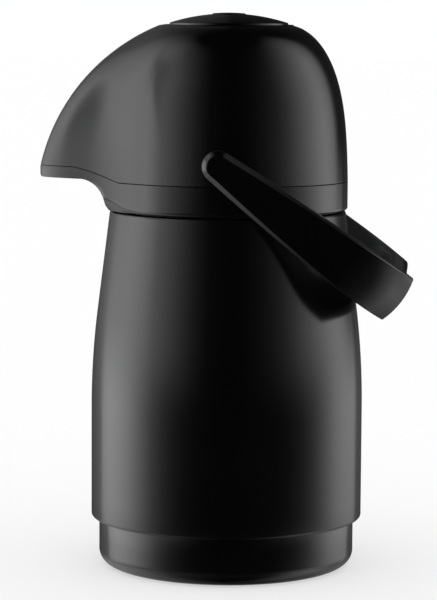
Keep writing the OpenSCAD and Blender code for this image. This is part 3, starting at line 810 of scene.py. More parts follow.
@dataclass(frozen=True)
class HeadForm:
    """The round head with its beak, in millimetres and degrees."""

    collar_r: float = 63.6
    collar_z0: float = 190.5
    seam_z: float = 206.3
    seam_rise: float = 7.2
    seam_flat: float = 13.0
    seam_end: float = 33.0
    seam_gap: float = 0.24
    wall: float = 2.3
    dome_z: float = 288.0
    dome_top_r: float = 30.0
    dome_lean: float = 2.5
    dome_power: float = 3.15
    beak_arc_r: float = 105.7
    beak_arc_x: float = 3.2
    beak_arc_z: float = 189.7
    beak_spread: float = 49.0
    beak_focus: float = 9.0
    beak_power: float = 1.6
    chin_r: float = 14.0
    chin_edge: float = 2.7
    chin_root: float = 0.12
    chin_crease: float = 300.0
    jaw_span: tuple[float, float] = (24.0, 40.0)
    jaw_tip_r: float = 2.0
    jaw_out: float = 0.36
    collar_edge: float = 1.3
    crowding: float = 1.45

    def side_r(self, z: float) -> float:
        """Radius of the round part at a height."""
        u = min(1.0, max(0.0, (z - self.seam_z) / (self.dome_z - self.seam_z)))
        span = self.collar_r - self.dome_top_r - self.dome_lean * u
        return self.dome_top_r + span * math.sqrt(max(0.0, 1 - u**self.dome_power))

    def front_r(self, z: float) -> float:
        """Reach of the beak at a height."""
        squared = self.beak_arc_r**2 - (z - self.beak_arc_z) ** 2
        return max(self.side_r(z), math.sqrt(max(0.0, squared)) - self.beak_arc_x)

    def beak_share(self, angle: float) -> float:
        """Share of the beak's reach at an angle from its middle."""
        t = min(1.0, abs(angle) / self.beak_spread)
        return (1 - t * t) ** self.beak_power / (1 + self.beak_focus * t * t)

    def seam_share(self, angle: float) -> float:
        """Share of the seam's rise at an angle from the beak's middle."""
        share = min(1.0, max(0.0, (abs(angle) - self.seam_flat) / (self.seam_end - self.seam_flat)))
        return 1 - 0.72 * share - 0.28 * ease(share, 0.0, 1.0)

    def seam_at(self, angle: float) -> float:
        """Height of the seam at an angle from the beak's middle."""
        return self.seam_z + self.seam_rise * self.seam_share(angle)

    def dome_r(self, angle: float, z: float) -> float:
        """Radius of the dome at an angle and a height."""
        side = self.side_r(z)
        return side + (self.front_r(z) - side) * self.beak_share(angle)

    def crowded(self, angle: float) -> float:
        """An even angle, drawn in towards the beak."""
        share = angle / 180
        return math.copysign(180 * abs(share) ** self.crowding, angle)

    @property
    def jaw_floor(self) -> float:
        """Height of the lower jaw's underside."""
        return self.collar_z0 + self.chin_edge + self.chin_r

    @property
    def beak_end(self) -> float:
        """Reach of the beak at the seam."""
        z = self.seam_z + self.seam_rise
        return math.sqrt(self.beak_arc_r**2 - (z - self.beak_arc_z) ** 2) - self.beak_arc_x


def spot(angle: float, radius: float, z: float) -> Triple:
    """A point at an angle from the beak's middle."""
    turn = math.radians(angle)
    return (-radius * math.cos(turn), -radius * math.sin(turn), z)


@dataclass
class HeadCasing:
    """Dome and collar: the black skin of the pump head."""

    form: HeadForm = field(default_factory=HeadForm)
    steps: int = 288
    inset_zero: float = 100.0
    height_scale: float = 100.0
    dome_steps: int = 44
    dome_crowding: float = 1.75
    dome_start: float = 0.0065
    dome_height: float = 80.0
    seam_rounding: float = 0.2
    last_share: float = 0.99365
    top_hole_r: float = 33.6
    hole_edge: float = 0.3
    hole_rim: float = 3.0
    boss_r: float = 7.5
    boss_out: float = 0.5
    boss_edge: float = 0.4
    boss_depth: float = 3.4
    boss_foot: float = 0.6
    pivot_x: float = 3.0
    pivot_z: float = 217.0
    spout_x: float = 88.0
    nozzle_hole_r: float = 5.9
    nozzle_hole_h: float = 12.0
    collar_lip: float = 0.2
    chin_fade: float = 0.16

    def _skin(self, section: Profile, place: Callable[[float, float, float], Triple]) -> BMesh:
        """Spins a section of (inset, share of height) and bends it to the head.

        Args:
            section: Inset from the outer face and share of the height of each point.
            place: Gives a point's place from its angle, inset and share.

        Returns:
            The bent skin.
        """
        even = [(self.inset_zero - inset, share * self.height_scale) for inset, share in section]
        bm = spun(even, steps=self.steps)

        def bend(p: Vector) -> Triple:
            """Place of a point of the even ring on the head."""
            angle = self.form.crowded(math.degrees(math.atan2(-p.y, -p.x)))
            inset = self.inset_zero - math.hypot(p.x, p.y)
            return place(angle, inset, p.z / self.height_scale)

        warp(bm, bend)
        bmesh.ops.recalc_face_normals(bm, faces=bm.faces)
        return bm

    def dome(self) -> bpy.types.Object:
        """Builds the dome with its pivot bosses.

        Returns:
            The dome's object.
        """
        form, edge = self.form, self.seam_rounding
        kept = 1 - self.dome_start
        outside = [
            (0.0, 1 - (1 - i / self.dome_steps) ** self.dome_crowding * kept - self.dome_start)
            for i in range(1, self.dome_steps)
        ]
        rounding = [
            (edge * (1 - math.cos(t)), edge * (1 - math.sin(t)) / self.dome_height)
            for t in (1.5, 1.1, 0.7, 0.3)
        ]
        rounding += [(0.0, edge / self.dome_height), (0.0, 2 * edge / self.dome_height)]
        rings = [
            (self.top_hole_r + self.hole_edge, form.dome_z),
            (self.top_hole_r, form.dome_z - self.hole_edge),
            (self.top_hole_r, form.dome_z - form.wall),
            (self.top_hole_r + self.hole_rim, form.dome_z - form.wall),
        ]
        marks = [(0.0, share) for share in (self.last_share, 1.01, 1.02, 1.03, 1.04)]
        inside = [(form.wall, s) for s in (0.955, 0.9, 0.83, 0.74, 0.62, 0.48, 0.32, 0.16, 0.0)]
        section = rounding + outside + marks + inside

        def place(angle: float, inset: float, share: float) -> Triple:
            """Place of a point of the dome's skin; shares above 1 are the hole's rings."""
            ring = round((share - 1) * 100)
            if ring > 0:
                return spot(angle, *rings[ring - 1])
            low = form.seam_at(angle)
            z = low + (form.dome_z - low) * share
            return spot(angle, form.dome_r(angle, z) - inset, z)

        bm = self._skin(section, place)
        for side in (-1, 1):
            absorb(bm, self._boss(side))
        piece = Piece("dome_skin", Body.HEAD, "head_black", HEAD_BLACK, ("dome_shell",))
        return piece.deliver(bm)

    def _boss(self, side: int) -> BMesh:
        """Builds one pivot boss, a low round pad on the side of the dome.

        Args:
            side: -1 for the side towards -Y, 1 for the other.

        Returns:
            The boss's mesh.
        """
        out = self.form.side_r(self.pivot_z) + self.boss_out
        edge, low = self.boss_edge, out - self.boss_depth
        section = [(0, low), (self.boss_r + self.boss_foot, low)]
        section += [*arc(self.boss_r - edge, out - edge, edge, 0, 90, 4), (0, out)]
        bm = spun(section, closed=False, steps=72)
        return moved(bm, (-self.pivot_x, 0.0, self.pivot_z), -side * 90)

    def collar(self) -> bpy.types.Object:
        """Builds the collar with the beak's lower jaw.

        Returns:
            The collar's object.
        """
        form = self.form
        hundredths = [*range(0, 10, 2), *range(10, 50, 4), *range(50, 74, 6), *range(74, 90, 2)]
        outside = [(0.0, mark / 100) for mark in (*hundredths, 90, 93, 96, 98.5)]
        low_in = (1.0, 0.9, 0.84, 0.76, 0.62, 0.5, 0.42, 0.34, 0.26, 0.18, 0.09, 0.0)
        section = outside + [(self.collar_lip, 1.0)] + [(form.wall, w) for w in low_in]
        top_z = form.seam_z + form.seam_rise - form.seam_gap
        root, fillet, bend, lip = 0.06, 0.5, 0.76, 0.9

        def plain(w: float, inset: float) -> tuple[float, float]:
            """Section of the plain collar."""
            rounding = form.collar_edge * max(0.0, 1 - w * 10) ** 2 if inset < 1 else 0.0
            height = form.seam_z - form.seam_gap - form.collar_z0
            return form.collar_r - inset - rounding, form.collar_z0 + w * height

        def jaw(w: float, inset: float) -> tuple[float, float]:
            """Section of the lower jaw: root, hollow, floor and tip."""
            start = form.chin_r + form.collar_r
            tip = form.beak_end + form.jaw_out - inset
            floor = form.jaw_floor + inset
            radius = form.chin_r + inset
            if w < root:
                low = form.collar_z0 + (floor - radius - form.collar_z0) * w / root
                return plain(w, inset)[0], low
            if w < fillet:
                turn = QUARTER_TURN * (w - root) / (fillet - root)
                return start - radius * math.cos(turn), floor - radius + radius * math.sin(turn)
            end = tip - form.jaw_tip_r
            if w < bend:
                return start + (end - start) * (w - fillet) / (bend - fillet), floor
            if w < lip:
                turn = QUARTER_TURN * (w - bend) / (lip - bend)
                rise = form.jaw_tip_r * (1 - math.cos(turn))
                return tip - form.jaw_tip_r * (1 - math.sin(turn)), floor + rise
            low = floor + form.jaw_tip_r
            return tip, low + (top_z - floor - form.jaw_tip_r) * (w - lip) / 0.1

        def place(angle: float, inset: float, share: float) -> Triple:
            """Place of a point: the beak's outline, cut off below by the chin's hollow."""
            r0, z0 = plain(share, inset)
            r1, z1 = jaw(share, inset)
            reach = form.beak_end + form.jaw_out - inset - r0
            kept = form.chin_root + (1 - form.chin_root) * ease(share, 0.0, self.chin_fade)
            outline = r0 + reach * form.beak_share(angle) * kept
            hollow = r1 / max(0.2, math.cos(math.radians(angle)))
            blend = (1 + (outline / hollow) ** form.chin_crease) ** (-1 / form.chin_crease)
            radius = max(r0, outline * blend)
            level = 1 - ease(abs(angle), *form.jaw_span)
            if share <= bend:
                return spot(angle, radius, z0 + (z1 - z0) * level)
            plain_z, jaw_z = plain(bend, inset)[1], jaw(bend, inset)[1]
            low = plain_z + (jaw_z - plain_z) * level
            rise = form.seam_share(angle)
            part = (z1 - jaw_z) / (top_z - jaw_z) * rise + (share - bend) / (1 - bend) * (1 - rise)
            return spot(angle, radius, low + (form.seam_at(angle) - form.seam_gap - low) * part)

        bm = self._skin(section, place)
        piece = Piece("collar_skin", Body.HEAD, "head_black", HEAD_BLACK, ("head_collar",))
        made = piece.deliver(bm)
        hole = spun(box(0, self.nozzle_hole_r, 0, self.nozzle_hole_h), closed=False, steps=64)
        middle = form.jaw_floor - self.nozzle_hole_h / 2
        cut(made, moved(hole, (-self.spout_x, 0.0, middle)), "nozzle_hole")
        return made

    def build(self) -> None:
        """Builds the whole casing."""
        self.dome()
        self.collar()


@dataclass
class Bottle:
    """Body shell, base cup and non-slip ring."""

    body_r: float = 72.39
    body_z0: float = 25.8
    straight_z: float = 85.0
    bend_r: float = 420.0
    bend_angle: float = 7.0
    top_r: float = 62.6
    top_z: float = 190.0
    wall: float = 2.2
    edge_r: float = 1.6
    flange_r: float = 64.3
    flange_t: float = 3.2
    neck_r: float = 50.0
    neck_wall: float = 3.0
    deck_z: float = 202.0
    deck_t: float = 2.5
    deck_hole_r: float = 26.0
    lug_out: float = 2.3
    lug_t: float = 2.5
    lug_angle: float = 40.0
    lug_count: int = 3
    base_r: float = 68.2
    base_edge_r: float = 8.0
    base_floor: float = 3.0
    spigot_r: float = 64.0
    spigot_h: float = 11.0
    base_wall: float = 2.6
    foot_in_r: float = 46.0
    foot_w: float = 8.0
    foot_t: float = 1.6
    neck_edge: float = 0.8
    hole_edge: float = 0.5
    shoulder_lap: float = 0.2
    lug_lap: float = 0.4
    stop_w: float = 3.0
    stop_drop: float = 0.3
    cone_steps: int = 8
    ring_edge: float = 0.4
    tread_inset: float = 0.6
    treads: int = 4
    tread_depth: float = 0.35
    tread_marks: Stops = ((0.0, 0.0), (0.55, 0.0), (0.7, 1.0), (0.85, 1.0))
    fit_gap: float = 0.1
    underside: Stops = ((0, 1.1), (7.0, 1.1), (7.6, 0.5), (24.0, 0.5), (24.6, 1.0), (26.4, 1.0),
                        (27.0, 0.5), (41.0, 0.5))
    rib_count: int = 6
    rib_turn: float = 15.0
    rib_w: float = 2.6

    def _outside(self, inset: float) -> Profile:
        """Section of the body's side from its straight part to its shoulder.

        Args:
            inset: Depth below the outer face.

        Returns:
            The section's points from below.
        """
        middle = self.body_r - self.bend_r
        bend = arc(middle, self.straight_z, self.bend_r - inset, 0, self.bend_angle, 16)
        last_r, last_z = bend[-1]
        top_r, top_z = self.top_r - inset + self.shoulder_lap, self.top_z - self.edge_r
        lean, rise = top_r - last_r, top_z - last_z
        shares = [i / self.cone_steps for i in range(1, self.cone_steps + 1)]
        return bend + [(last_r + lean * share, last_z + rise * share) for share in shares]

    def shell(self) -> bpy.types.Object:
        """Builds the body shell with its neck, deck and lugs.

        Returns:
            The shell's object.
        """
        low_z = self.body_z0 + self.edge_r
        low = arc(self.body_r - self.edge_r, low_z, self.edge_r, -90, 0, 8)
        straight = [(self.body_r, low_z + (self.straight_z - 30) * i / 6) for i in range(1, 6)]
        side = self._outside(0)
        high = arc(side[-1][0] - self.edge_r, self.top_z - self.edge_r, self.edge_r, 8, 90, 8)
        round_r, hole = self.neck_edge, self.hole_edge
        neck = [
            (self.neck_r + round_r, self.top_z),
            (self.neck_r, self.top_z + round_r),
            *arc(self.neck_r - round_r, self.deck_z - round_r, round_r, 0, 90, 4),
            *arc(self.deck_hole_r + hole, self.deck_z - hole, hole, 90, 180, 4),
            (self.deck_hole_r, self.deck_z - self.deck_t),
            (self.neck_r - self.neck_wall, self.deck_z - self.deck_t),
            (self.neck_r - self.neck_wall, self.top_z - self.wall),
            (side[-1][0] - self.wall, self.top_z - self.wall),
        ]
        inside = list(reversed(self._outside(self.wall)))
        flange = [
            (self.body_r - self.wall, self.body_z0 + self.flange_t),
            (self.flange_r, self.body_z0 + self.flange_t),
            (self.flange_r, self.body_z0),
        ]
        bm = spun(low + straight + side + high + neck + inside + flange)
        under = self.deck_z - self.lug_t - 1
        r0, r1 = self.neck_r - self.lug_lap, self.neck_r + self.lug_out
        stop = box(r0, r1, under - self.lug_t - self.stop_drop, under)
        for middle in self._lug_angles():
            add_sector(bm, box(r0, r1, under, under + self.lug_t), middle, self.lug_angle)
            add_sector(bm, stop, middle - self.lug_angle / 2 + self.stop_w / 2, self.stop_w, 3)
        piece = Piece("body_skin", Body.BOTTLE, "shell_black", SHELL_BLACK, ("body_shell",))
        return piece.deliver(bm)

    def _lug_angles(self) -> list[float]:
        """Angles of the lugs' middles in degrees."""
        return [i * 360 / self.lug_count for i in range(self.lug_count)]

    def base(self) -> bpy.types.Object:
        """Builds the base cup with its rings and ribs underneath.

        Returns:
            The base's object.
        """
        top = self.body_z0 - self.fit_gap
        ring_out = self.foot_in_r + self.foot_w
        floor_top = self.base_floor + self.foot_t
        inner_r = self.spigot_r - self.base_wall
        spigot_top = self.body_z0 + self.spigot_h
        corner = self.base_edge_r
        profile = [
            *self.underside,
            *arc(41.6, 0.5, 0.5, 180, 270, 3),
            (self.foot_in_r, 0.0),
            (self.foot_in_r, self.foot_t),
            (ring_out, self.foot_t),
            (ring_out, 0.0),
            *arc(self.base_r - corner, corner, corner, -90, 0, 18),
            (self.base_r, 15.0),
            *arc(self.base_r - 0.5, top - 0.5, 0.5, 0, 90, 4),
            (self.spigot_r + 0.4, top),
            (self.spigot_r, top + 0.4),
            (self.spigot_r, spigot_top - 0.6),
            (self.spigot_r - 0.6, spigot_top),
            (inner_r, spigot_top),
            (inner_r, floor_top),
            (0, floor_top),
        ]
        bm = spun(profile, closed=False)
        low = self.body_z0 + self.flange_t + self.fit_gap
        lug = box(self.spigot_r - self.lug_lap, self.spigot_r + self.lug_out, low, low + self.lug_t)
        for middle in self._lug_angles():
            add_sector(bm, lug, middle, self.lug_angle)
        for i in range(self.rib_count):
            middle = i * 360 / self.rib_count + self.rib_turn
            add_sector(bm, box(9.0, 22.0, 0.6, 0.1), middle, self.rib_w, 3)
        piece = Piece("base_skin", Body.BOTTLE, "base_black", BASE_BLACK, ("base_cup",))
        return piece.deliver(bm)

    def foot(self) -> bpy.types.Object:
        """Builds the non-slip ring with its shallow treads.

        Returns:
            The ring's object.
        """
        edge, side = self.ring_edge, self.tread_inset
        inner, outer = self.foot_in_r + self.fit_gap, self.foot_in_r + self.foot_w - self.fit_gap
        pitch = (outer - inner - 2 * side) / self.treads
        tread = [
            (outer - side - i * pitch - pitch * share, self.tread_depth * deep)
            for i in range(self.treads)
            for share, deep in self.tread_marks
        ]
        profile = [(inner, self.foot_t), (outer, self.foot_t)]
        profile += [*arc(outer - edge, edge, edge, 0, -80, 4), *tread]
        profile += arc(inner + edge, edge, edge, 260, 180, 4)
        bm = spun(profile)
        piece = Piece("foot_tread", Body.BOTTLE, "foot_rubber", BLACK_RUBBER, ("foot_ring",))
        return piece.deliver(bm)

    def build(self) -> None:
        """Builds the bottle's skins."""
        self.shell()
        self.base()
        self.foot()


@dataclass
class PumpButton:
    """Push button, its pad and the sleeve that it slides in."""

    button_r: float = 31.3
    button_z: float = 293.8
    crown_r: float = 102.7
    wall: float = 2.0
    skirt_h: float = 28.0
    bead_out: float = 1.3
    bead_h: float = 1.8
    rim_edge: float = 0.6
    pad_relief: Stops = ((0, 0.45), (2, 0.45), (4, 0.45), (6, 0.45), (7.4, 0.45), (8.1, 0.45),
                         (8.5, 0.36), (8.8, 0.18), (9.0, 0.02), (9.0, -0.2), (6, -0.2), (3, -0.2),
                         (0, -0.2))
    valve_r: float = 3.1
    sleeve_r: float = 31.7
    sleeve_wall: float = 1.8
    sleeve_top: float = 288.0
    sleeve_edge: float = 0.35
    flange_out: float = 2.4
    flange_t: float = 2.0
    dome_wall: float = 2.4
    bead_edge: float = 0.4
    top_steps: int = 28
    valve_z: float = 285.0

    def crown(self, r: float) -> float:
        """Height of the crown at a radius."""
        return self.button_z - self.crown_r + math.sqrt(self.crown_r**2 - r * r)

    def button(self) -> bpy.types.Object:
        """Builds the button's cap.

        Returns:
            The button's object.
        """
        rim = self.crown(self.button_r)
        skirt = rim - self.skirt_h
        start = self.button_r - self.rim_edge
        shares = [1 - i / self.top_steps for i in range(1, self.top_steps + 1)]
        inner_r, outer_r = self.button_r - self.wall, self.button_r + self.bead_out
        edge, corner = self.bead_edge, self.rim_edge

        def below(r: float) -> tuple[float, float]:
            """Point of the cap's inner face at a radius."""
            return (r, self.crown(r) - self.wall)

        post_r = self.valve_r + self.wall
        profile = [
            (inner_r, self.crown(self.button_r) - self.wall - corner),
            (inner_r, skirt),
            (outer_r - edge, skirt),
            (outer_r, skirt + edge),
            (outer_r, skirt + self.bead_h - edge),
            (outer_r - edge, skirt + self.bead_h),
            (self.button_r, skirt + self.bead_h + 0.2),
            (self.button_r, rim - corner - 4),
            *arc(start, self.crown(start) - corner, corner, 0, 72, 6),
            *[(start * share, self.crown(start * share)) for share in shares],
        ]
        inside = [
            *[below(r) for r in (0, 2, self.valve_r)],
            (self.valve_r, self.valve_z),
            (post_r, self.valve_z),
            *[below(r) for r in (post_r, 10.0, 15.0, 20.0, 25.0, inner_r - corner)],
        ]
        bm = spun(profile[::-1] + inside[::-1], closed=False)
        piece = Piece("button_cap", Body.BUTTON, "button_black", BUTTON_BLACK, ("push_button",))
        return piece.deliver(bm)

    def pad(self) -> bpy.types.Object:
        """Builds the thumb pad in the middle of the button.

        Returns:
            The pad's object.
        """
        section = [(r, self.crown(r) + height) for r, height in self.pad_relief]
        bm = spun(section, closed=False, steps=96)
        piece = Piece("thumb_pad", Body.BUTTON, "button_black", PAD_BLACK, ("button_pad",))
        return piece.deliver(bm)

    def sleeve(self) -> bpy.types.Object:
        """Builds the sleeve with its rounded lip.

        Returns:
            The sleeve's object.
        """
        low = self.crown(self.button_r) - self.skirt_h + self.bead_h + 0.3
        out = self.sleeve_r + self.sleeve_wall
        flange = self.sleeve_top - self.dome_wall
        edge, corner_z = self.sleeve_edge, self.sleeve_top - self.sleeve_edge
        profile = [
            (self.sleeve_r, low),
            (out, low),
            (out, flange - self.flange_t),
            (out + self.flange_out, flange - self.flange_t),
            (out + self.flange_out, flange),
            (out, flange),
            *arc(out - edge, corner_z, edge, 0, 90, 4),
            *arc(self.sleeve_r + edge, corner_z, edge, 90, 180, 4),
        ]
        bm = spun(profile)
        piece = Piece("sleeve_ring", Body.HEAD, "head_black", HEAD_BLACK, ("button_sleeve",))
        return piece.deliver(bm)

    def build(self) -> None:
        """Builds the button, pad and sleeve."""
        self.button()
        self.pad()
        self.sleeve()


@dataclass
class PumpWorks:
    """Bellows and return spring inside the head."""

    low_z: float = 221.1
    high_z: float = 280.9
    travel: float = 26.0
    bellows_r: float = 28.4
    fold: float = 5.0
    folds: int = 9
    wall: float = 1.0
    spring_r: float = 15.0
    wire_r: float = 0.9
    turns: int = 7
    turn_steps: int = 36
    wire_sides: int = 10
    fold_steps: int = 12
    fold_shape: float = 0.8
    seat_gap: float = 0.06

    def _squash(self, piece: bpy.types.Object) -> None:
        """Gives a piece its own copy of its mesh."""
        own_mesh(piece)

    def bellows(self) -> bpy.types.Object:
        """Builds the folded rubber bellows.

        Returns:
            The bellows' object.
        """
        height = self.high_z - self.low_z
        count = self.folds * self.fold_steps
        outside: Profile = []
        for i in range(count + 1):
            share = i / count
            swing = 0.5 - 0.5 * math.cos(FULL_TURN * share * self.folds)
            rise = self.seat_gap + (height - 2 * self.seat_gap) * share
            radius = self.bellows_r - self.fold + self.fold * swing**self.fold_shape
            outside.append((radius, self.low_z + rise))
        inside = [(r - self.wall, z) for r, z in reversed(outside)]
        piece = Piece("bellows_folds", Body.BUTTON, "bellows_rubber", BLACK_RUBBER, ("bellows",))
        made = piece.deliver(spun(outside + inside, steps=96))
        self._squash(made)
        return made

    def spring(self) -> bpy.types.Object:
        """Builds the return spring from a wire that is spun as it rises.

        Returns:
            The spring's object.
        """
        bm = bmesh.new()
        bmesh.ops.create_circle(
            bm, cap_ends=False, radius=self.wire_r * MM, segments=self.wire_sides
        )
        moved(bm, (self.spring_r, 0.0, self.low_z + self.wire_r), 90)
        steps = self.turns * self.turn_steps
        rise = (self.high_z - self.low_z - 2 * self.wire_r) / steps
        bmesh.ops.spin(
            bm,
            geom=[*bm.verts, *bm.edges],
            cent=(0, 0, 0),
            axis=(0, 0, 1),
            dvec=(0, 0, rise * MM),
            angle=FULL_TURN * self.turns,
            steps=steps,
        )
        bmesh.ops.holes_fill(bm, edges=bm.edges, sides=self.wire_sides + 2)
        piece = Piece("spring_coil", Body.BUTTON, "spring_steel", SPRING_STEEL, ("return_spring",))
        made = piece.deliver(tidy(bm))
        self._squash(made)
        return made

    def build(self) -> None:
        """Builds the bellows and spring."""
        self.bellows()
        self.spring()


@dataclass
class Bail:
    """The carrying bail: two flat arms with chamfered eyes, and a broad grip."""

    pivot_x: float = 3.0
    pivot_z: float = 217.0
    angle: float = 36.8
    reach: float = 118.3
    half_w: float = 70.0
    power: float = 4.6
    arm_t: float = 5.4
    grip_t: float = 12.5
    eye_r: float = 8.2
    grip_half_h: float = 13.3
    belly: float = 1.1
    dip: float = 2.9
    dip_from: tuple[float, float] = (100.0, 112.0)
    dip_across: tuple[float, float] = (12.0, 44.0)
    crown: float = 2.14
    crown_from: tuple[float, float] = (84.0, 116.0)
    chamfer_eye: float = 2.4
    chamfer_grip: float = 0.4
    chamfer_from: float = 5.0
    chamfer_run: float = 95.0
    chamfer_depth: float = 0.95
    soft_arm: float = 0.7
    soft_grip: float = 2.2
    soft_from: tuple[float, float] = (92.0, 114.0)
    pin_hole_r: float = 4.05
    pin_depth: float = 3.85
    bend_from: float = 50.0
    bend_to: float = 117.0
    bend_turn: float = 55.0
    bend_power: float = 2.3
    bend_steps: int = 44
    corner_r: float = 3.0
    corner_turn: float = 87.0
    arm_steps: int = 10
    corner_steps: int = 8
    grip_steps: int = 14
    eye_steps: int = 14
    out_marks: tuple[float, ...] = (0.0, 0.12, 0.5, 0.88, 1.0, 1.12)
    in_marks: tuple[float, ...] = (0.0, 0.08, 0.25, 0.5, 0.75, 1.0)

    def half_h(self, x: float) -> float:
        """Half the bail's height at a distance from the pivots."""
        if x < 0:
            return math.sqrt(max(0.0, self.eye_r**2 - x * x))
        u = x / self.reach
        return self.eye_r + (self.grip_half_h - self.eye_r) * u + 4 * self.belly * u * (1 - u)

    def chamfer(self, x: float) -> float:
        """Width of the outer chamfer at a distance from the pivots."""
        share = min(1.0, max(0.0, (x - self.chamfer_from) / self.chamfer_run))
        return self.chamfer_eye + (self.chamfer_grip - self.chamfer_eye) * share

    def _outline(self) -> list[Vector]:
        """Outer points of half the bail in its own plane, from a pivot to the middle of the grip.

        Returns:
            The points in millimetres.
        """
        x, y = 0.0, self.half_w
        steps = self.arm_steps
        points = [Vector((self.bend_from * i / steps, y, 0)) for i in range(steps)]
        span = self.bend_to - self.bend_from
        for i in range(self.bend_steps + 1):
            points.append(Vector((self.bend_from + span * i / self.bend_steps, y, 0)))
            share = (i + 0.5) / self.bend_steps
            slope = math.tan(math.radians(self.bend_turn) * share**self.bend_power)
            y -= slope * span / self.bend_steps
        x, y = points[-1].x, points[-1].y
        start, end = math.radians(self.bend_turn), math.radians(self.corner_turn)
        for i in range(1, self.corner_steps + 1):
            turn = start + (end - start) * i / self.corner_steps
            out = self.corner_r * (math.sin(turn) - math.sin(start))
            back = self.corner_r * (math.cos(start) - math.cos(turn))
            points.append(Vector((x + out, y - back, 0)))
        x, y = points[-1].x, points[-1].y
        for i in range(1, self.grip_steps + 1):
            side = 1 - i / self.grip_steps
            points.append(Vector((x + (self.reach - x) * (1 - side * side), y * side, 0)))
        return points

    def _inner(self, outer: Vector) -> Vector:
        """Point on the inner face that faces a point of the outer one.

        Args:
            outer: Point on the outer face, in the bail's plane.

        Returns:
            The inner point.
        """
        turn = math.atan2(outer.y / self.half_w, outer.x / self.reach)
        c, s = math.cos(turn), math.sin(turn)
        radius = (abs(c) ** self.power + abs(s) ** self.power) ** (-1 / self.power)
        depth, width = self.reach - self.grip_t, self.half_w - self.arm_t
        return Vector((radius * c * depth, radius * s * width, 0))

    def _stations(self) -> list[tuple[Vector, Vector]]:
        """Outer and inner points of the bail in its own plane, from one eye to the other.

        Returns:
            Pairs of outer and inner points in millimetres.
        """
        pairs: list[tuple[Vector, Vector]] = []
        for i in range(self.eye_steps):
            x = -self.eye_r * math.cos(QUARTER_TURN * i / self.eye_steps)
            pairs.append((Vector((x, self.half_w, 0)), Vector((x, self.half_w - self.arm_t, 0))))
        pairs += [(outer, self._inner(outer)) for outer in self._outline()]
        mirror = Vector((1, -1, 1))
        return pairs + [(outer * mirror, inner * mirror) for outer, inner in reversed(pairs[:-1])]

    def _section(self, outer: Vector, inner: Vector) -> list[Vector]:
        """One closed section of the bail.

        Args:
            outer: Point on the outer face, in the bail's plane.
            inner: Point on the inner face.

        Returns:
            Places of the section's points in the bail's own frame, in millimetres.
        """
        x = outer.x
        half = self.half_h(x)
        across = (inner - outer).normalized()
        thick = (inner - outer).length
        wide = self.chamfer(max(0.0, x))
        soft = self.soft_arm + self.soft_grip * ease(x, *self.soft_from)
        middle = 1 - ease(abs(outer.y), *self.dip_across)
        dip = self.dip * middle * ease(x, *self.dip_from)

        def edge_gap(h: float) -> float:
            """Distance of a point inwards from the bail's outline."""
            return max(0.0, self.eye_r - math.hypot(x, h) if x < 0 else half - abs(h))

        def out_depth(h: float) -> float:
            """Depth of the outer face below the widest plane."""
            share = (h / max(half, 1.0)) ** 2
            crown = self.crown * ease(x, *self.crown_from) * share
            return max(0.0, wide - edge_gap(h)) * self.chamfer_depth + crown

        def in_depth(h: float) -> float:
            """Depth of the inner face below its plane, at most part of the thickness."""
            rest = max(0.0, 1 - edge_gap(h) / soft)
            depth = soft * (1 - math.sqrt(max(0.0, 1 - rest * rest)))
            return min(depth, thick * 0.45)

        def heights(edge: float, marks: Iterable[float], inward: Iterable[float]) -> list[float]:
            """Heights across the section: close by the edges, then in to the middle and back."""
            upper = [half - mark * edge for mark in marks]
            upper += [upper[-1] * share for share in inward]
            return upper + [-h for h in reversed(upper[:-1])]

        def drop(h: float) -> Vector:
            """The point's height, lowered by the dip of the grip's upper edge."""
            return Vector((0, 0, h - dip * ease(h, -half * 0.2, half)))

        limit = min(1.0, half / (wide * 1.4)) if half > 0 else 0.0
        limit_in = min(1.0, half / (soft * 1.3)) if half > 0 else 0.0
        outs = heights(wide * limit, self.out_marks, (0.75, 0.5, 0.25, 0.0))
        ins = heights(soft * limit_in, self.in_marks, (0.66, 0.33, 0.0))
        places = [outer + across * out_depth(h) + drop(h) for h in outs]
        return places + [inner - across * in_depth(h) + drop(h) for h in reversed(ins)]

    def build(self) -> bpy.types.Object:
        """Lofts the bail from eye to eye and bores its pin holes.

        Returns:
            The bail's object.
        """
        bm = bmesh.new()
        stations = self._stations()
        first = self._section(*stations[0])
        ring = bmesh.ops.create_circle(bm, cap_ends=False, radius=MM, segments=len(first))["verts"]
        for vert, place in zip(ring, first):
            vert.co = place * MM
        edges = list(bm.edges)
        for outer, inner in stations[1:]:
            made = bmesh.ops.extrude_edge_only(bm, edges=edges)["geom"]
            verts = [item for item in made if isinstance(item, BMVert)]
            edges = [item for item in made if isinstance(item, BMEdge)]
            order = self._ring_order(verts, ring)
            for vert, place in zip(order, self._section(outer, inner)):
                vert.co = place * MM
            ring = order
        tidy(bm, 0.02)
        at = (-self.pivot_x, 0.0, self.pivot_z)
        piece = Piece("bail_skin", Body.BAIL, "bail_black", BAIL_BLACK, ("bail_handle",))
        made = piece.deliver(moved(bm, at, self.angle, "Y"), sharp=28)
        start = self.half_w - self.arm_t - 1
        for side in (-1, 1):
            section = box(0, self.pin_hole_r, start, start + 1 + self.pin_depth)
            hole = spun(section, closed=False, steps=48)
            cut(made, moved(hole, at, -side * 90), f"pin_hole_{side}")
        return made

    @staticmethod
    def _ring_order(verts: list[BMVert], ring: list[BMVert]) -> list[BMVert]:
        """Puts new vertices in the order of the ring that they were drawn from."""
        fresh = set(verts)
        return [
            next(edge.other_vert(old) for edge in old.link_edges if edge.other_vert(old) in fresh)
            for old in ring
        ]


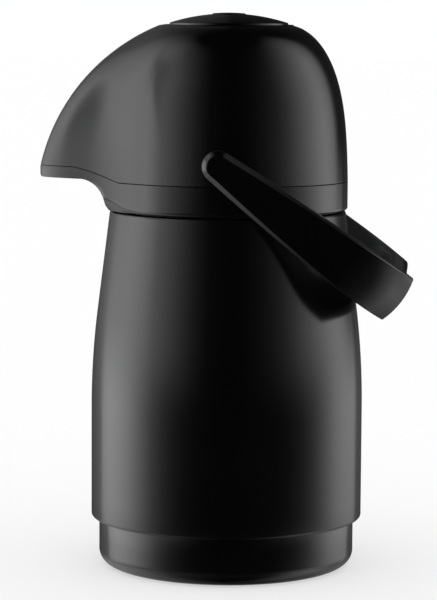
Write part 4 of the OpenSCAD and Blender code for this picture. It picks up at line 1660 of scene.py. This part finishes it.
WORN_BY: dict[Finish, tuple[str, ...]] = {
    BLACK_RUBBER: ("flask_seat", "centring_ring"),
    FLASK_GLASS: ("flask_outer", "flask_inner"),
    SEAL_SILICONE: ("spacer_pad_1", "spacer_pad_2", "spacer_pad_3", "mouth_seal", "stopper_seal"),
    INNER_BLACK: ("bayonet_ring", "pump_plate", "stopper", "bellows_plate", "pivot_washer_left",
                  "pivot_washer_right"),
    MILKY: ("valve_stem", "suction_tube", "spout_pipe"),
    BRIGHT_STEEL: ("pivot_pin_left", "pivot_pin_right", "head_screw_1", "head_screw_2",
                   "head_screw_3"),
}


def dress_solids(nodes: dict[str, bpy.types.Object]) -> None:
    """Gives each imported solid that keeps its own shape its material.

    Args:
        nodes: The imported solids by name.
    """
    for finish, names in WORN_BY.items():
        material = finish.material()
        for solid in [nodes[name] for name in names]:
            if not solid.material_slots:
                solid.data.materials.append(material)
            for slot in solid.material_slots:
                slot.material = material
        LOG.info("%s is worn by %s", finish.name, ", ".join(names))


@dataclass(frozen=True)
class SoftBox:
    """Light of one side by degrees from the camera: from the floor, at the level and above."""

    under: Stops
    low: Stops
    high: Stops


@dataclass
class Studio:
    """Camera, floor, white surroundings and the soft boxes that the gloss mirrors."""

    camera_at: tuple[float, float, float] = (44.75, -1416.3, 303.0)
    heading: float = 2.0
    pitch: float = 6.498
    roll: float = 0.33
    lens: float = 160.24
    tent_r: float = 2600.0
    left_box: SoftBox = SoftBox(
        under=((0, 0.03), (30, 0.14), (54, 0.36), (78, 1.0), (96, 1.4), (114, 1.4), (138, 0.9),
               (160, 0.45), (180, 0.4)),
        low=((0, 0.005), (18, 0.01), (30, 0.03), (42, 0.1), (54, 0.32), (66, 0.9), (78, 2.1),
             (90, 3.2), (102, 3.5), (114, 3.0), (122, 2.3), (129, 1.6), (132, 0.75), (135, 0.5),
             (142, 0.36), (152, 0.2), (162, 0.11), (180, 0.05)),
        high=((0, 0.003), (18, 0.03), (30, 0.18), (42, 0.54), (54, 1.06), (66, 1.65), (78, 2.6),
              (90, 3.0), (102, 2.75), (114, 2.0), (126, 1.35), (134, 0.9), (141, 0.5),
              (150, 0.34), (160, 0.2), (180, 0.05)),
    )
    right_box: SoftBox = SoftBox(
        under=((0, 0.03), (30, 0.07), (42, 0.12), (52, 0.29), (65, 0.78), (84, 1.4), (100, 1.2),
               (126, 0.6), (150, 0.35), (180, 0.2)),
        low=((0, 0.005), (18, 0.01), (42, 0.02), (54, 0.05), (66, 0.15), (78, 0.5), (90, 1.25),
             (102, 2.0), (114, 2.0), (126, 1.5), (136, 1.1), (139, 0.9), (142, 0.25), (150, 0.2),
             (165, 0.1), (180, 0.05)),
        high=((0, 0.003), (12, 0.01), (24, 0.04), (36, 0.11), (48, 0.25), (60, 0.6), (72, 1.2),
              (84, 1.8), (96, 2.25), (106, 2.2), (112, 1.8), (118, 1.35), (124, 0.85),
              (129, 0.28), (134, 0.06), (142, 0.04), (180, 0.02)),
    )
    upright: Stops = ((-90, 0.1), (-60, 0.45), (-45, 0.75), (-35, 1.0), (-20, 0.82), (-12, 0.76),
                      (-7, 1.0), (8, 1.0), (15, 0.94), (35, 0.8), (43, 0.63), (47, 0.54),
                      (51, 0.43), (55, 0.34), (59, 0.25), (63, 0.16), (66, 0.1), (69, 0.04),
                      (72, 0.0), (90, 0.0))
    side_band: tuple[float, float] = (-0.02, 0.02)
    under_band: tuple[float, float] = (-24.0, -11.0)
    level_band: tuple[float, float] = (-6.2, 5.0)
    flag_edge: tuple[float, float] = (78.0, 16.0)
    flag_slope: float = 2.43
    flag_soft: tuple[float, float] = (-0.07, 0.1)
    flag_top: tuple[float, float] = (34.0, 56.0)
    flag_from: tuple[float, float] = (60.0, 84.0)
    flag_share: float = 0.45
    floor_r: float = 12.0
    floor_drop: float = 0.0002
    floor_glow: float = 0.55
    floor_level: float = 0.985
    tent_peak: float = 3.5

    def camera(self) -> None:
        """Places the camera at the photograph's angle."""
        turn, tip, roll = [math.radians(part) for part in (self.heading, self.pitch, self.roll)]
        away = math.cos(tip)
        forward = Vector((-math.sin(turn) * away, math.cos(turn) * away, -math.sin(tip)))
        right = Vector((math.cos(turn), math.sin(turn), 0))
        up = right.cross(forward)
        right, up = (
            right * math.cos(roll) + up * math.sin(roll),
            up * math.cos(roll) - right * math.sin(roll),
        )
        data = bpy.data.cameras.new("camera")
        data.lens = self.lens
        data.sensor_width = 36
        data.clip_start = 0.01
        camera = placed("camera", data)
        rotation = Matrix((right, up, -forward)).transposed().to_4x4()
        camera.matrix_world = Matrix.Translation(Vector(self.camera_at) * MM) @ rotation
        bpy.context.scene.camera = camera

    def surroundings(self) -> None:
        """Makes the world and the floor plain white."""
        world = bpy.data.worlds.new("white_surroundings")
        world.use_nodes = True
        bpy.context.scene.world = world
        graph = Graph(world.node_tree)
        background = graph.node("ShaderNodeBackground", {}, {"Color": grey(1.0), "Strength": 1.0})
        graph.node("ShaderNodeOutputWorld", {}, {"Surface": background})
        bm = bmesh.new()
        bmesh.ops.create_circle(bm, cap_ends=True, radius=self.floor_r, segments=96)
        floor = placed("floor", mesh_of(bm, "floor"))
        floor.data.materials.append(material_of("pale_floor", self._pale))
        floor.location = (0, 0, -self.floor_drop)
        floor.visible_glossy = False

    def _pale(self, graph: Graph) -> Wire:
        """Builds the floor's shader: matt and pale, part of it plain white to the camera."""
        matt = graph.node("ShaderNodeBsdfDiffuse", {}, {"Color": grey(self.floor_level)})
        white = graph.node("ShaderNodeEmission", {}, {"Color": grey(1.0), "Strength": 1.0})
        seen = graph.node("ShaderNodeLightPath", out="Is Camera Ray") * self.floor_glow
        return graph.node("ShaderNodeMixShader", {}, {0: seen, 1: matt, 2: white})

    def tent(self) -> None:
        """Hangs the tent of soft boxes and dark flags that only the gloss sees."""
        bm = bmesh.new()
        bmesh.ops.create_uvsphere(bm, u_segments=96, v_segments=48, radius=self.tent_r * MM)
        bmesh.ops.reverse_faces(bm, faces=bm.faces)
        tent = placed("reflection_tent", mesh_of(bm, "reflection_tent"))
        tent.data.materials.append(material_of("soft_boxes_and_flags", self._glow))
        for ray in ("camera", "diffuse", "transmission", "volume_scatter", "shadow"):
            setattr(tent, f"visible_{ray}", False)

    def _glow(self, graph: Graph) -> Wire:
        """Builds the tent's shader.

        Args:
            graph: The graph to build in.

        Returns:
            The glow of the soft boxes behind their flag, by the direction from the object.
        """
        turned = graph.stretched((1.0, 1.0, 1.0), -self.heading)
        x, y, z = [graph.coordinate(axis, turned) for axis in range(3)]
        azimuth = graph.node("ShaderNodeMath", {"operation": "ARCTAN2"}, {0: x, 1: y * -1.0})
        around = abs(azimuth) / math.pi
        sine = z / (self.tent_r * MM)

        def by_angle(stops: Stops) -> Wire:
            """Share of the peak at the point's angle from the camera."""
            shares = [(angle / 180, level / self.tent_peak) for angle, level in stops]
            return graph.grey_ramp(around, shares)

        def risen(band: tuple[float, float]) -> Wire:
            """Smooth step over a band of elevations in degrees."""
            return sine.ramp(*[math.sin(math.radians(angle)) for angle in band])

        raised, above = risen(self.under_band), risen(self.level_band)

        def lit(one: SoftBox) -> Wire:
            """Light of one side, blended over its three heights."""
            lower = by_angle(one.under) * (1 - raised) + by_angle(one.low) * raised
            return lower * (1 - above) + by_angle(one.high) * above

        heights = [(0.5 + math.sin(math.radians(a)) / 2, level) for a, level in self.upright]
        high = graph.grey_ramp(sine / 2 + 0.5, heights)
        side = azimuth.ramp(*self.side_band)
        angle, height = self.flag_edge
        edge = (around - angle / 180) * self.flag_slope + math.sin(math.radians(height))
        flag = (sine - edge).ramp(*self.flag_soft) * (1 - risen(self.flag_top))
        grown = around.ramp(*[start / 180 for start in self.flag_from])
        flag = flag * grown * (1 - self.flag_share)
        left = lit(self.left_box) * (1 - flag) * (1 - side)
        strength = (left + lit(self.right_box) * side) * high * self.tent_peak
        return graph.node("ShaderNodeEmission", {}, {"Color": grey(1.0), "Strength": strength})

    def build(self) -> None:
        """Builds the whole studio."""
        bpy.context.scene.view_settings.view_transform = "Standard"
        self.camera()
        self.surroundings()
        self.tent()


def main() -> None:
    """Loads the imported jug, dresses it and sets up the studio."""
    logging.basicConfig(level=logging.INFO, format="%(name)s: %(message)s")
    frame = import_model()
    Studio().build()
    Bottle().build()
    HeadCasing().build()
    PumpButton().build()
    PumpWorks().build()
    Bail().build()
    dress_solids(frame["nodes"])


if __name__ == "__main__":
    main()
